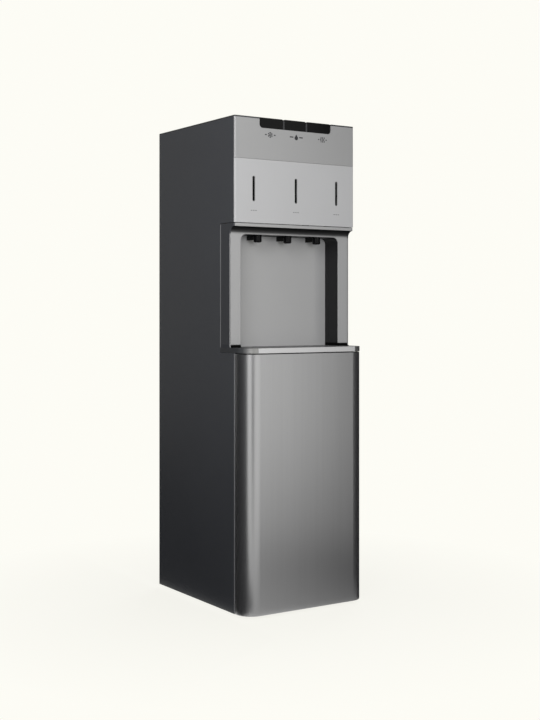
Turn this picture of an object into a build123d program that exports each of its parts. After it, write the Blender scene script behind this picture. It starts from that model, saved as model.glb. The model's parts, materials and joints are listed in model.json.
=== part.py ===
"""Bottom load water cooler: a floor-standing dispenser with its bottle behind a door."""
from build123d import *
import os

# ---------------------------------------------------------------- driving sizes, in millimetres
WIDTH = 310.0                 # over the side panels
BODY_DEPTH = 333.0            # control fascia to the rear edge
LEDGE_PROUD = 45.4            # ledge front, ahead of the control fascia
CORNER_R = 35.0               # upright front corners of the door and the ledge
FOOT_HEIGHT = 6.0
SHEET = 0.8                   # painted panels and the door skin
PLATE = 1.2                   # shelves, base pan and hinge brackets
WALL = 2.5                    # moulded housings
THIN_WALL = 1.5               # compartment liner
FIT = 0.1                     # seated pieces
GAP = 0.4                     # sliding pieces
RUN = 0.05                    # radial clearance of pins in bushes
OVER = 1.0                    # how far a cut runs past what it opens, or a fused piece runs in
FLANGE = 7.0                  # folded edges of the side panels

# door and its hinge
DOOR_HEIGHT = 541.0
DOOR_BOTTOM_GAP = 0.5         # door above the side panels' lower edge
DOOR_SETBACK = 1.0            # door behind the ledge front
DOOR_GAP = 2.5                # between the door and the cabinet
LEDGE_GAP = 2.2               # between the door and the ledge
CAP_HEIGHT = 14.0
DOOR_LINER_INSET = 2.0        # door liner inside the door's sides
PAN_DEPTH = 13.0              # dished middle of the door liner
PAN_MARGIN = 26.0
PAN_R = 18.0
PIN_R = 2.5
PIN_LENGTH = 10.0
PIN_INSET = 8.0               # hinge axis in from the door's side
PIN_FORWARD = 20.0            # hinge axis ahead of the door's back
BUSH_R = 4.0
BUSH_LENGTH = 12.0
HINGE_PAD_R = 5.5
HINGE_KNEE = 2.0              # where the bracket's arm meets its tongue, ahead of the fascia's plane
HINGE_REACH = 28.0
HINGE_WIDTH = 18.0
MAGNET = (5.0, 3.0, 70.0)
MAGNET_DROP = 30.0            # magnet below the door's top cap

# ledge, niche and drip tray
LEDGE_HEIGHT = 10.6
LEDGE_FLOOR = 1.6
LEDGE_HOLLOW = 10.0           # the ledge's arms are hollow this far behind the fascia's plane
FRAME_WIDTH = 28.0            # silver frame beside the niche
NICHE_HEIGHT = 240.0          # from the ledge top to the foot of the chin's sweep
NICHE_CORNER_R = 13.0
FRAME_SETBACK = 19.7          # silver frame behind the control fascia
BACK_SETBACK = 69.0           # backsplash behind the control fascia
SKIRT_DEPTH = 58.0            # rear edge of the skirt behind the control fascia
SKIRT_R = 4.0
TRIM = 2.0                    # silver frame moulding
TRIM_PROUD = 2.0              # the moulding's chin, ahead of the skirts' chins
SWEEP_R = 15.0                # concave sweep under the chin
CHIN_SETBACK = 4.0
CHIN_HEIGHT = 7.0
FOOT_FLARE = 4.0
FOOT_STRIP = 6.0              # dark strip between the frame and the ledge
BACKSPLASH = 2.0
GROOVE = 0.7                  # seam in the niche's side walls
GROOVE_SETBACK = 56.0
TRAY_INSET = 2.4              # tray inside the niche's sides
TRAY_FLOOR = 1.5
TRAY_RIM = 6.0                # rim of the tray, on which the grille lies
TRAY_LIP = 2.5
TRAY_CORNER_R = 1.5
GRILLE_BARS = 23
GRILLE_SLOT = 5.0
GRILLE_RIM = 9.0
GRILLE_WEB = 4.0              # between the two rows of slots
GRILLE_HEIGHT = 1.8
GRILLE_CORNER_R = 3.0

# spouts and valves
SPOUT_INSET = 50.0            # outer spouts in from the niche's sides
SPOUT_SETBACK = 33.0
SPOUT_R = 8.75
SPOUT_DROP = 16.0             # nozzle below the niche's ceiling
SPOUT_CHAMFER = 2.0
SPOUT_BORE_R = 4.0
ARM_WIDTH = 10.0
ARM_HEIGHT = 10.0
TAIL_R = 6.0
TAIL_HEIGHT = 8.0
VALVE = (26.0, 23.0, 20.0)
VALVE_EDGE_R = 3.0
COIL_R = 11.0
COIL_HEIGHT = 22.0
NIPPLE_R = 3.5
NIPPLE_LENGTH = 9.0

# indicator panel and control fascia
PANEL_SEAM = 1.0              # under the indicator panel
FASCIA_SEAM = 0.4             # between the two front panels
INDICATOR_HEIGHT = 134.7
FASCIA_HEIGHT = 85.6
FRONT_WALL = 2.5
EDGE_R = 3.5
INDICATOR_R = 4.5
COLLAR_DEPTH = 12.0
SLOT_INSET = 47.5             # outer slots in from the cabinet's sides
SLOT_LENGTH = 52.0
SLOT_WIDTH = 4.8
SLOT_OFFSET = 4.85            # slot centre above the panel's middle
WINDOW_RECESS = 0.3
WINDOW_DEPTH = 6.0
WINDOW_RIM = 3.0
BOARD = 1.6
BOARD_MARGIN = 8.5            # board beyond the outer slots
BOARD_HEIGHT = 66.0
BOARD_CORNER_R = 3.0
SPACER_R = 3.0
SPACER_INSET = 6.0
COVER = 3.0                   # top cover plate
COVER_LIP = 9.0

# dispense keys
KEY_BAR_WIDTH = 186.0
KEY_BAR_HEIGHT = 22.0
KEY_BAR_R = 8.0
KEY_CROWN = 1.0               # keys above the top cover
KEY_DEPTH = 26.0
KEY_SKIRT = 4.0               # key face below the fascia's notch
KEY_WALL = 2.0
KEY_EDGE_R = 2.5
KEY_LIP = (1.6, 2.0)          # lip that holds a key under the top cover: reach and thickness
KEY_TRAVEL = 3.0
KEY_STEM_R = 2.5
DIVIDER = 3.6
MIDDLE_KEY_TRIM = 1.5         # dividers nearer the middle than a third of the bar
SWITCH = (16.0, 12.0, 9.0)
HOUSING_WALL = 2.0

# bottle compartment
LINER_INSET = 7.5             # liner behind the side panels' outer face
LINER_CLEARANCE = 45.0        # liner's back ahead of the rear edge
LINER_DROP = 1.5              # liner below the ledge
CHANNEL_WIDTH = 66.0
CHANNEL_INSET = 50.0          # channel's middle in from the left side
CHANNEL_CLEARANCE = 1.5       # channel ahead of the rear panel
FLOOR_HEIGHT = 12.8           # bottle floor above the base pan's plate
FLOOR_PLATE = 4.0
FLOOR_R = 3.0
RIB = 2.0
DISH_R = 138.0                # dish for a bottle 272 across
DISH_DEPTH = 2.0
CRADLE_HEIGHT = 5.0
CRADLE_DEPTH = 38.0
CRADLE_DROP = 81.7            # cradle below the ledge

# probe, pump and hoses
PROBE_R = 7.0
PROBE_BORE_R = 4.5
PROBE_FOOT = 72.0             # probe's foot above the side panels' lower edge
PROBE_NECK_R = 5.5
STRAINER_R = 9.0
STRAINER_HEIGHT = 30.0
STRAINER_SLOT = 2.0
STRAINER_MARGIN = 5.0
COLLAR_R = 24.0
COLLAR_HEIGHT = 18.0
HOSE_R = 5.0
HOSE_BORE_R = 3.0
PROBE_HOSE_RISE = 26.0        # upright run of the hose above the probe's nipple
PROBE_HOSE_BENDS = (22.0, 26.0)
PUMP_REACH = 75.6             # pump axis ahead of the probe
PUMP_LEGS = 34.0
PUMP_HEAD = (44.0, 44.0, 26.0)
PUMP_EDGE_R = 6.0
PUMP_MOTOR_R = 17.0
PUMP_MOTOR_HEIGHT = 60.0
PUMP_OUTLET_X = 9.0           # outlets either side of the pump's axis
LEG = 3.0
LEG_INSET = 8.0
LEG_DEPTH = 28.0
FEED_ARCH = 14.0              # top of the feed hose above the cold tank's port
FEED_BENDS = (20.0, 20.0, 12.0)
LINK_ARCH = 12.0              # top of the link hose above the cold tank's port
LINK_BENDS = (10.0, 20.0)
DISPENSE_BEND = 14.0
WARM_STEP = (20.0, 60.0)      # sideways step of the warm hose, above the pump's outlets
WARM_BENDS = (9.0, 30.0, 8.0, 10.0)

# shelves, tanks and refrigeration
PAN_WALL = 12.0
REAR_RECESS = 15.0            # rear panel inside the rear edge
REAR_FLANGE = 13.0
SHELF_RISE = 1.3              # mid shelf above the ledge's underside
SHELF_FLANGE = 10.0
TANK_SHELF_STEP = 5.7         # tank shelf above the niche's ceiling
RISER_SPACE = 26.5            # between the niche's back and the tank shelf
TANK_SHELF_CLEARANCE = 28.0   # tank shelf ahead of the rear panel
TANK_CLEARANCE = 106.0        # tank axes ahead of the rear panel
TANK_HEADROOM = 40.8          # cold jacket below the top cover
JACKET_GAP = 2.05             # cold jacket to the cabinet's middle and side
JACKET_EDGE_R = 5.0
HOT_JACKET_DROP = 24.0        # hot jacket lower than the cold one
HOT_JACKET_STEP = 11.0        # hot jacket's radius less than the cold one's
COLD_FOAM = 19.0
HOT_FOAM = 20.0
FOAM_FLOOR = 14.0
FOAM_TOP = 12.0
TANK_WALL = 1.2
TANK_EDGE_R = 8.0
OUTLET_RISE = 16.0
COLD_PORT_X = 30.0            # link port beside the cold tank's axis
HOT_PORT_X = 20.0
COIL_TUBE = (4.0, 8.0)         # evaporator tube, flattened: thickness and height
COIL_SINK = 0.8               # its flat side brazed into the tank's wall
COIL_START = 18.0             # lowest turn above the outlet
COIL_TURNS = 4
COIL_PITCH = 22.0
PORT_R = 4.0
COMPRESSOR_INSET = 80.0       # compressor's axis in from the right side panel
COMPRESSOR_CLEARANCE = 118.0  # compressor's axis ahead of the rear panel
COMPRESSOR_R = 66.0
COMPRESSOR_HEIGHT = 150.0
COMPRESSOR_DOME_R = 30.0
COMPRESSOR_BASE_R = 14.0
FOOT_PLATE = (24.0, 3.0, 12.0)    # margin round the mounts, thickness and corner radius
TERMINAL_COVER = (44.0, 28.0, 44.0)
TERMINAL_RISE = 40.0
TERMINAL_EDGE_R = 4.0
GROMMET_R = 9.0
GROMMET_HEIGHT = 10.0
GROMMET_NECK_R = 4.0
GROMMET_CAP = 6.0             # neck of the grommet above the shell's foot
GROMMET_SPAN = 116.0
TUBE_R = 2.5
SUCTION_GAP = 26.0            # suction tube beside the compressor
SUCTION_BEND = 18.0
SUCTION_RISE = 90.0           # ports in the compressor's shell, above its foot plate
DISCHARGE_RISE = 75.0
DISCHARGE_CLIMB = 60.0        # sloping run of the discharge tube
DISCHARGE_GAP = 12.0          # discharge tube behind the tank shelf
DISCHARGE_BENDS = (16.0, 30.0, 12.0)
CAPILLARY_R = 1.2
CAPILLARY_BEND = 6.0
DRYER_R = 9.0
DRYER_LENGTH = 80.0
DRYER_EDGE_R = 5.0
DRYER_RISE = 34.0
DRYER_GAP = 10.0              # dryer behind the tank shelf
DRYER_BEND = 10.0

# rear fittings
CONDENSER_INSET = 7.0         # tube plane inside the rear edge
CONDENSER_MARGIN = 27.0       # condenser in from the left side
CONDENSER_SPACE = 50.0        # between the condenser and the fittings
CONDENSER_RISE = 43.8         # lowest row above the mid shelf
CONDENSER_DROP = 68.0         # highest row below the top cover
CONDENSER_ROWS = 11
CONDENSER_BEND = 7.0
WIRE_R = 0.9
WIRE_PITCH = 9.0
WIRE_MARGIN = 24.0            # outer wires in from the tube's bends
WIRE_TAIL = 8.0
WIRE_SINK = 0.4               # wires welded into the tube
VENT_ROWS = 3
VENT_COUNT = 9
VENT_PITCH = 24.0
VENT_ROW_PITCH = 11.0
VENT_LENGTH = 16.0
VENT_WIDTH = 4.0
VENT_RISE = 150.0
FITTINGS_INSET = 43.0         # switches, drain and cord gland in from the right side
SWITCH_RISE = 98.8            # lowest switch above the tanks' floor
SWITCH_PITCH = 34.0
ROCKER_BODY = (26.0, 18.0, 20.0)
ROCKER_BEZEL = (30.0, 22.0, 2.0)
ROCKER_BEZEL_R = 2.0
ROCKER_WELL = 6.0
ROCKER_WIDTH = 21.0
ROCKER_HEIGHT = 13.0
ROCKER_FACE = 4.0             # rocker's edges above the rear panel
ROCKER_ROOT = 2.0
ROCKER_VEE = 1.0
ROCKER_TILT = 8.0
DRAIN_DROP = 55.0             # drain below the tank shelf
DRAIN_R = 8.0
DRAIN_REACH = (12.0, 8.0)     # spigot ahead of and behind the rear panel
DRAIN_FLANGE = (12.0, 3.0)    # radius and thickness
DRAIN_BEND = 30.0
DRAIN_CAP_R = 14.0
DRAIN_CAP_DEPTH = 9.0
DRAIN_CAP_TOP = 2.0
DRAIN_CAP_FIT = 0.3
DRAIN_CAP_CHAMFER = 1.0
FLUTES = 12
FLUTE_R = 1.6
FLUTE_SHIFT = 0.6             # flutes' centres outside the cap
GLAND_RISE = 63.8             # cord gland above the mid shelf
GLAND_R = 9.0
GLAND_DEPTH = 10.0
GLAND_FLANGE = (13.0, 4.0)    # radius and thickness
GLAND_BORE_R = 3.6
SCREW_R = 4.0
SCREW_HEIGHT = 1.6
SCREW_EDGE_R = 1.0
SCREW_INSET = 12.0
FOOT_R = 14.0
FOOT_CHAMFER = 1.5
FOOT_INSET = 50.0
FOOT_MARGIN = 38.0
CONTROL_BOX = (60.0, 30.0, 100.0)
CONTROL_BOX_STEP = 60.0       # control box beside the bottle channel
CONTROL_BOX_R = 3.0

# ---------------------------------------------------------------- planes that pieces share
HALF = WIDTH / 2
FASCIA_Y = (LEDGE_PROUD - BODY_DEPTH) / 2
REAR_Y = FASCIA_Y + BODY_DEPTH
LEDGE_Y = FASCIA_Y - LEDGE_PROUD
DOOR_Y = LEDGE_Y + DOOR_SETBACK
DOOR_BACK_Y = FASCIA_Y - DOOR_GAP
FRAME_Y = FASCIA_Y + FRAME_SETBACK
CHIN_Y = FASCIA_Y + CHIN_SETBACK
BACKSPLASH_Y = FASCIA_Y + BACK_SETBACK
SKIRT_Y = FASCIA_Y + SKIRT_DEPTH
NICHE_REAR_Y = BACKSPLASH_Y + BACKSPLASH + WALL
REAR_PANEL_Y = REAR_Y - REAR_RECESS
SPOUT_Y = FASCIA_Y + SPOUT_SETBACK
CONDENSER_Y = REAR_Y - CONDENSER_INSET
LINER_BACK_Y = REAR_Y - LINER_CLEARANCE
CHANNEL_BACK_Y = REAR_PANEL_Y - CHANNEL_CLEARANCE
TANK_SHELF_FRONT_Y = NICHE_REAR_Y + RISER_SPACE
TANK_SHELF_BACK_Y = REAR_PANEL_Y - TANK_SHELF_CLEARANCE
TANK_Y = REAR_PANEL_Y - TANK_CLEARANCE

BASE_Z = FOOT_HEIGHT
DOOR_Z = BASE_Z + DOOR_BOTTOM_GAP
DOOR_TOP_Z = DOOR_Z + DOOR_HEIGHT
LEDGE_Z = DOOR_TOP_Z + LEDGE_GAP
LEDGE_TOP_Z = LEDGE_Z + LEDGE_HEIGHT
NICHE_TOP_Z = LEDGE_TOP_Z + NICHE_HEIGHT
CHIN_Z = NICHE_TOP_Z + SWEEP_R
CHIN_TOP_Z = CHIN_Z + CHIN_HEIGHT
INDICATOR_Z = CHIN_TOP_Z + PANEL_SEAM
INDICATOR_TOP_Z = INDICATOR_Z + INDICATOR_HEIGHT
FASCIA_Z = INDICATOR_TOP_Z + FASCIA_SEAM
COVER_Z = FASCIA_Z + FASCIA_HEIGHT
TOP_Z = COVER_Z + COVER
NOTCH_Z = TOP_Z - KEY_BAR_HEIGHT
KEY_Z = NOTCH_Z - KEY_SKIRT
SHELF_Z = LEDGE_Z + SHELF_RISE
SHELF_TOP_Z = SHELF_Z + PLATE
TANK_SHELF_Z = NICHE_TOP_Z + TANK_SHELF_STEP
TANK_FLOOR_Z = TANK_SHELF_Z + PLATE
CRADLE_Z = LEDGE_Z - CRADLE_DROP
COMPRESSOR_Z = SHELF_TOP_Z + GROMMET_HEIGHT
DRAIN_Z = TANK_SHELF_Z - DRAIN_DROP
GLAND_Z = SHELF_TOP_Z + GLAND_RISE

INNER = HALF - SHEET - FIT                # what seats between the side panels
NICHE_HALF = HALF - FRAME_WIDTH
TRAY_HALF = NICHE_HALF - TRAY_INSET
BAY_HALF = TRAY_HALF + GAP
SPOUT_PITCH = NICHE_HALF - SPOUT_INSET
SLOT_PITCH = HALF - SLOT_INSET
DIVIDER_X = KEY_BAR_WIDTH / 6 - MIDDLE_KEY_TRIM
CHANNEL_X = CHANNEL_INSET - HALF
CONTROL_BOX_X = CHANNEL_X + CONTROL_BOX_STEP
FITTINGS_X = HALF - FITTINGS_INSET
CONDENSER_LEFT = CONDENSER_MARGIN - HALF
CONDENSER_RIGHT = FITTINGS_X - CONDENSER_SPACE
TANK_X = INNER / 2
COLD_JACKET_R = TANK_X - JACKET_GAP
COLD_TANK_R = COLD_JACKET_R - COLD_FOAM
HOT_JACKET_R = COLD_JACKET_R - HOT_JACKET_STEP
HOT_TANK_R = HOT_JACKET_R - HOT_FOAM
COLD_JACKET_HEIGHT = COVER_Z - TANK_FLOOR_Z - TANK_HEADROOM
HOT_JACKET_HEIGHT = COLD_JACKET_HEIGHT - HOT_JACKET_DROP
COMPRESSOR_X = INNER - COMPRESSOR_INSET
COMPRESSOR_Y = REAR_PANEL_Y - COMPRESSOR_CLEARANCE
KEY_FACE_Y = FASCIA_Y + FRONT_WALL + GAP
KEY_BACK_Y = KEY_FACE_Y + KEY_DEPTH
POCKET_Y = KEY_BACK_Y + KEY_LIP[0] + GAP  # back of the key housing's pockets
PIN_X = HALF - PIN_INSET
PIN_Y = DOOR_BACK_Y - PIN_FORWARD
PROBE_Y = CHANNEL_BACK_Y - THIN_WALL - COLLAR_R - GAP
PUMP_Y = PROBE_Y - PUMP_REACH


# ---------------------------------------------------------------- shapes
def block(x, y, z):
    """A box over three spans, each a low and a high value."""
    size = [high - low for low, high in (x, y, z)]
    middle = [(high + low) / 2 for low, high in (x, y, z)]
    return Pos(*middle) * Box(*size)


def raised(outline, z):
    """A plan outline raised over a z span."""
    return Pos(0, 0, z[0]) * extrude(outline, z[1] - z[0])


def through(outline, y):
    """A front-view outline (x, z) carried back over a y span."""
    return Pos(0, y[1], 0) * extrude(Plane.XZ * outline, y[1] - y[0])


def across(outline, x):
    """A side-view outline (y, z) carried over an x span."""
    return Pos(x[0], 0, 0) * extrude(Plane.YZ * outline, x[1] - x[0])


def post(radius, x, y, z):
    """An upright cylinder over a z span."""
    return Pos(x, y, z[0]) * extrude(Circle(radius), z[1] - z[0])


def rod(radius, x, y, z):
    """A cylinder that lies front to back over a y span."""
    return Pos(x, y[1], z) * extrude(Plane.XZ * Circle(radius), y[1] - y[0])


def both_sides(piece):
    """A right-hand piece with its mirror image."""
    return piece + mirror(piece, Plane.YZ)


def group(solids):
    """Separate solids that share one node."""
    return Compound(children=[item.solid() for item in solids])


def plan(half, front, back, radius):
    """Plan outline with rounded front corners."""
    outline = Pos(0, (front + back) / 2) * Rectangle(2 * half, back - front)
    return fillet(outline.vertices().group_by(Axis.Y)[0], radius)


def tube(points, radii, radius, bore=0.0):
    """A round tube along straight runs joined by tangent arcs."""
    path = FilletPolyline(*points, radius=radii)
    section = Circle(radius) - Circle(bore) if bore else Circle(radius)
    return sweep(Plane(origin=path @ 0, z_dir=path % 0) * section, path=path)


# ---------------------------------------------------------------- cabinet
def base_pan():
    """Folded steel tray under the bottle compartment."""
    back = REAR_PANEL_Y - FIT
    front = FASCIA_Y + SHEET + FIT
    outer = block((-INNER, INNER), (front, back), (BASE_Z, BASE_Z + PAN_WALL))
    inside = block((-INNER + PLATE, INNER - PLATE), (front + PLATE, back - PLATE),
                   (BASE_Z + PLATE, BASE_Z + PAN_WALL + OVER))
    return outer - inside


def right_side_panel():
    """Painted side sheet with folded edges, notched for the niche's skirt."""
    inner = HALF - SHEET
    sheet = block((inner, HALF), (FASCIA_Y, REAR_Y), (BASE_Z, COVER_Z))
    front_fold = block((HALF - FLANGE, HALF), (FASCIA_Y, FASCIA_Y + SHEET), (BASE_Z, LEDGE_Z))
    rear_fold = block((HALF - FLANGE, HALF), (REAR_Y - SHEET, REAR_Y), (BASE_Z, COVER_Z))
    notch = block((inner - FLANGE, HALF + OVER), (FASCIA_Y - OVER, SKIRT_Y + GAP),
                  (LEDGE_Z - GAP, INDICATOR_Z))
    notch = fillet(notch.edges().filter_by(Axis.X).group_by(Axis.Y)[-1].group_by(Axis.Z)[-1], SKIRT_R)
    shoulder = block((inner - OVER, HALF + OVER), (FASCIA_Y - OVER, FASCIA_Y + EDGE_R + FIT),
                     (INDICATOR_Z - OVER, COVER_Z + OVER))
    return sheet + front_fold + rear_fold - notch - shoulder


def vent_slots():
    """Staggered rows of ventilation slots, as cutters through the rear panel."""
    slots = []
    for row in range(VENT_ROWS):
        for column in range(VENT_COUNT):
            x = (column - (VENT_COUNT - 1) / 2) * VENT_PITCH + (row % 2) * VENT_PITCH / 4
            z = BASE_Z + VENT_RISE + row * VENT_ROW_PITCH
            slot = Pos(x, z) * SlotOverall(VENT_LENGTH, VENT_WIDTH)
            slots.append(through(slot, (REAR_PANEL_Y - OVER, REAR_PANEL_Y + SHEET + OVER)))
    return slots


def rear_panel():
    """Recessed steel back with side flanges, vents and cut-outs for what passes it."""
    plate_y = (REAR_PANEL_Y, REAR_PANEL_Y + SHEET)
    cut_y = (REAR_PANEL_Y - OVER, REAR_PANEL_Y + SHEET + OVER)
    span = (BASE_Z, COVER_Z)
    panel = block((-INNER, INNER), plate_y, span)
    fold = block((INNER - SHEET, INNER), (REAR_PANEL_Y, REAR_PANEL_Y + REAR_FLANGE), span)
    panel = panel + both_sides(fold)
    for index in range(3):
        panel -= block((FITTINGS_X - ROCKER_BODY[0] / 2 - FIT, FITTINGS_X + ROCKER_BODY[0] / 2 + FIT),
                       cut_y, rocker_span(index, ROCKER_BODY[1] / 2 + FIT))
    panel -= rod(DRAIN_R + FIT, FITTINGS_X, cut_y, DRAIN_Z)
    panel -= rod(GLAND_R + FIT, FITTINGS_X, cut_y, GLAND_Z)
    for x, z in condenser_ends():
        panel -= rod(TUBE_R + GAP, x, cut_y, z)
    return panel - vent_slots()


def top_cover():
    """Flat cover with a lip inside the cabinet, open over the keys."""
    plate = raised(plan(HALF, FASCIA_Y, REAR_Y, EDGE_R), (COVER_Z, TOP_Z))
    lip_z = (COVER_Z - COVER_LIP, COVER_Z)
    lip_front = POCKET_Y + HOUSING_WALL + GAP
    lip_back = REAR_PANEL_Y - FIT
    lip = block((-INNER, INNER), (lip_front, lip_back), lip_z)
    lip -= block((-INNER + WALL, INNER - WALL), (lip_front + WALL, lip_back - WALL), lip_z)
    opening = block((-KEY_BAR_WIDTH / 2 - GAP, KEY_BAR_WIDTH / 2 + GAP),
                    (FASCIA_Y - OVER, KEY_BACK_Y + GAP), (COVER_Z - OVER, TOP_Z + OVER))
    return plate + lip - opening


def shelf(front, back, z, holes):
    """A steel shelf with its edges folded down at the sides and up at the rear."""
    plate = block((-INNER, INNER), (front, back), (z, z + PLATE))
    side = block((INNER - PLATE, INNER), (front, back), (z - SHELF_FLANGE, z))
    rear = block((-INNER, INNER), (back - PLATE, back), (z, z + SHELF_FLANGE))
    plate = plate + both_sides(side) + rear
    for x, y, radius in holes:
        plate -= post(radius + GAP, x, y, (z - OVER, z + PLATE + OVER))
    return plate


def mid_shelf():
    """Shelf over the bottle compartment; it carries the compressor and the pump."""
    return shelf(NICHE_REAR_Y + FIT, REAR_PANEL_Y - FIT, SHELF_Z, [(CHANNEL_X, PUMP_Y, HOSE_R)])


def tank_shelf():
    """Shelf that carries both tanks."""
    holes = [(suction_x(), COMPRESSOR_Y, TUBE_R), (FITTINGS_X, TANK_Y, PORT_R)]
    return shelf(TANK_SHELF_FRONT_Y, TANK_SHELF_BACK_Y, TANK_SHELF_Z, holes)


def feet():
    """Four moulded feet under the base pan."""
    solids = []
    for x in (FOOT_INSET - HALF, HALF - FOOT_INSET):
        for y in (FASCIA_Y + FOOT_MARGIN, REAR_PANEL_Y - FOOT_MARGIN):
            foot = Pos(x, y, 0) * extrude(Circle(FOOT_R), FOOT_HEIGHT)
            solids.append(chamfer(foot.edges().group_by(Axis.Z)[0], FOOT_CHAMFER))
    return group(solids)


def panel_screws():
    """Pan-head screws that hold the rear panel to the shelves and the base pan."""
    solids = []
    face = REAR_PANEL_Y + SHEET
    heights = (BASE_Z + PAN_WALL / 2, SHELF_TOP_Z + SHELF_FLANGE / 2, COVER_Z - COVER_LIP / 2)
    for x in (SCREW_INSET - INNER, INNER - SCREW_INSET):
        for z in heights:
            head = rod(SCREW_R, x, (face, face + SCREW_HEIGHT), z)
            solids.append(fillet(head.edges().group_by(Axis.Y)[-1], SCREW_EDGE_R))
    return group(solids)


# ---------------------------------------------------------------- bottle compartment
def compartment_liner():
    """Moulded walls round the bottle, with a channel and a cradle for the probe."""
    outer = HALF - LINER_INSET
    inner = outer - THIN_WALL
    z = (BASE_Z + PLATE + FIT, LEDGE_Z - LINER_DROP)
    front = FASCIA_Y + SHEET + PLATE + 2 * FIT
    back = LINER_BACK_Y
    channel = (CHANNEL_X - CHANNEL_WIDTH / 2, CHANNEL_X + CHANNEL_WIDTH / 2)
    shell = block((-outer, outer), (front, back), z)
    shell += block((channel[0] - THIN_WALL, channel[1] + THIN_WALL), (back - THIN_WALL, CHANNEL_BACK_Y), z)
    shell -= block((-inner, inner), (front - OVER, back - THIN_WALL), z)
    shell -= block(channel, (back - 2 * THIN_WALL, CHANNEL_BACK_Y - THIN_WALL), z)
    pan_side = INNER - PLATE - FIT
    flange = block((outer, pan_side), (front, front + THIN_WALL), z)
    cradle = block(channel, (CHANNEL_BACK_Y - THIN_WALL - CRADLE_DEPTH, CHANNEL_BACK_Y - THIN_WALL),
                   (CRADLE_Z, CRADLE_Z + CRADLE_HEIGHT))
    slot = PROBE_R + 2 * GAP
    cradle -= post(slot, CHANNEL_X, PROBE_Y, (CRADLE_Z - OVER, CRADLE_Z + CRADLE_HEIGHT + OVER))
    cradle -= block((CHANNEL_X - slot, CHANNEL_X + slot), (FASCIA_Y, PROBE_Y),
                    (CRADLE_Z - OVER, CRADLE_Z + CRADLE_HEIGHT + OVER))
    return shell + both_sides(flange) + cradle


def bottle_floor():
    """Moulded floor with a dish that centres the bottle, ribbed underneath."""
    half = HALF - LINER_INSET - THIN_WALL - FIT
    front = FASCIA_Y + SHEET + PLATE + 3 * FIT
    back = LINER_BACK_Y - THIN_WALL - FIT
    low = BASE_Z + PLATE
    top = low + FLOOR_HEIGHT
    under = top - FLOOR_PLATE
    centre_y = (front + back) / 2
    floor = block((-half, half), (front, back), (low, top))
    floor = fillet(floor.edges().filter_by(Axis.Z), FLOOR_R)
    floor -= block((-half + WALL, half - WALL), (front + WALL, back - WALL), (low - OVER, under))
    floor -= post(DISH_R, 0, centre_y, (top - DISH_DEPTH, top + OVER))
    for x in (-half / 2, 0, half / 2):
        floor += block((x - RIB / 2, x + RIB / 2), (front + WALL, back - WALL), (low, under))
    return floor + block((-half + WALL, half - WALL), (centre_y - RIB / 2, centre_y + RIB / 2), (low, under))


def probe():
    """Suction probe: slotted strainer, tube, bottle collar and hose nipple."""
    top = CRADLE_Z + CRADLE_HEIGHT
    foot = BASE_Z + PROBE_FOOT
    body = post(PROBE_R, CHANNEL_X, PROBE_Y, (foot, top))
    body += post(STRAINER_R, CHANNEL_X, PROBE_Y, (foot, foot + STRAINER_HEIGHT))
    body += post(COLLAR_R, CHANNEL_X, PROBE_Y, (top, top + COLLAR_HEIGHT))
    body += post(PROBE_NECK_R, CHANNEL_X, PROBE_Y, (top + COLLAR_HEIGHT, probe_top()))
    body -= post(PROBE_BORE_R, CHANNEL_X, PROBE_Y, (foot + WALL, top))
    for turn in range(4):
        slot = block((CHANNEL_X - STRAINER_SLOT / 2, CHANNEL_X + STRAINER_SLOT / 2),
                     (PROBE_Y, PROBE_Y + 2 * STRAINER_R),
                     (foot + STRAINER_MARGIN, foot + STRAINER_HEIGHT - STRAINER_MARGIN))
        body -= slot.rotate(Axis((CHANNEL_X, PROBE_Y, 0), (0, 0, 1)), 90 * turn + 45)
    return body


def probe_top():
    """Height where the probe's hose begins."""
    return CRADLE_Z + CRADLE_HEIGHT + COLLAR_HEIGHT + NIPPLE_LENGTH


def probe_hose():
    """Hose from the probe, under the mid shelf and up to the pump."""
    level = probe_top() + PROBE_HOSE_RISE
    points = [(CHANNEL_X, PROBE_Y, probe_top()), (CHANNEL_X, PROBE_Y, level),
              (CHANNEL_X, PUMP_Y, level), (CHANNEL_X, PUMP_Y, SHELF_TOP_Z + PUMP_LEGS - NIPPLE_LENGTH)]
    return tube(points, PROBE_HOSE_BENDS, HOSE_R, HOSE_BORE_R)


# ---------------------------------------------------------------- door
def door_skin():
    """Stainless wrap with rounded corners and folded rear edges."""
    z = (DOOR_Z, DOOR_TOP_Z)
    skin = raised(plan(HALF, DOOR_Y, DOOR_BACK_Y, CORNER_R), z)
    skin -= raised(plan(HALF - SHEET, DOOR_Y + SHEET, DOOR_BACK_Y - SHEET, CORNER_R - SHEET), z)
    return skin - block((-HALF + FLANGE, HALF - FLANGE), (DOOR_BACK_Y - 2 * SHEET, DOOR_BACK_Y + OVER), z)


def door_inside(grow):
    """Plan outline that fits inside the skin, moved in by a margin."""
    edge = SHEET + FIT + grow
    return plan(HALF - edge, DOOR_Y + edge, DOOR_BACK_Y - edge, CORNER_R - edge)


def door_cap(low, high, closed_low):
    """A hollow end cap with its hinge boss; the closed side faces out."""
    cap = raised(door_inside(0), (low, high))
    plate = (low + WALL, high + OVER) if closed_low else (low - OVER, high - WALL)
    cap -= raised(door_inside(WALL), plate)
    boss = post(BUSH_R + WALL, PIN_X, PIN_Y, (low, high)) & raised(door_inside(0), (low, high))
    seat = (low - OVER, low + BUSH_LENGTH + FIT) if closed_low else (high - BUSH_LENGTH - FIT, high + OVER)
    return cap + boss - post(BUSH_R + FIT, PIN_X, PIN_Y, seat)


def door_bottom_cap():
    return door_cap(DOOR_Z, DOOR_Z + CAP_HEIGHT, True)


def door_top_cap():
    return door_cap(DOOR_TOP_Z - CAP_HEIGHT, DOOR_TOP_Z, False)


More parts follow.
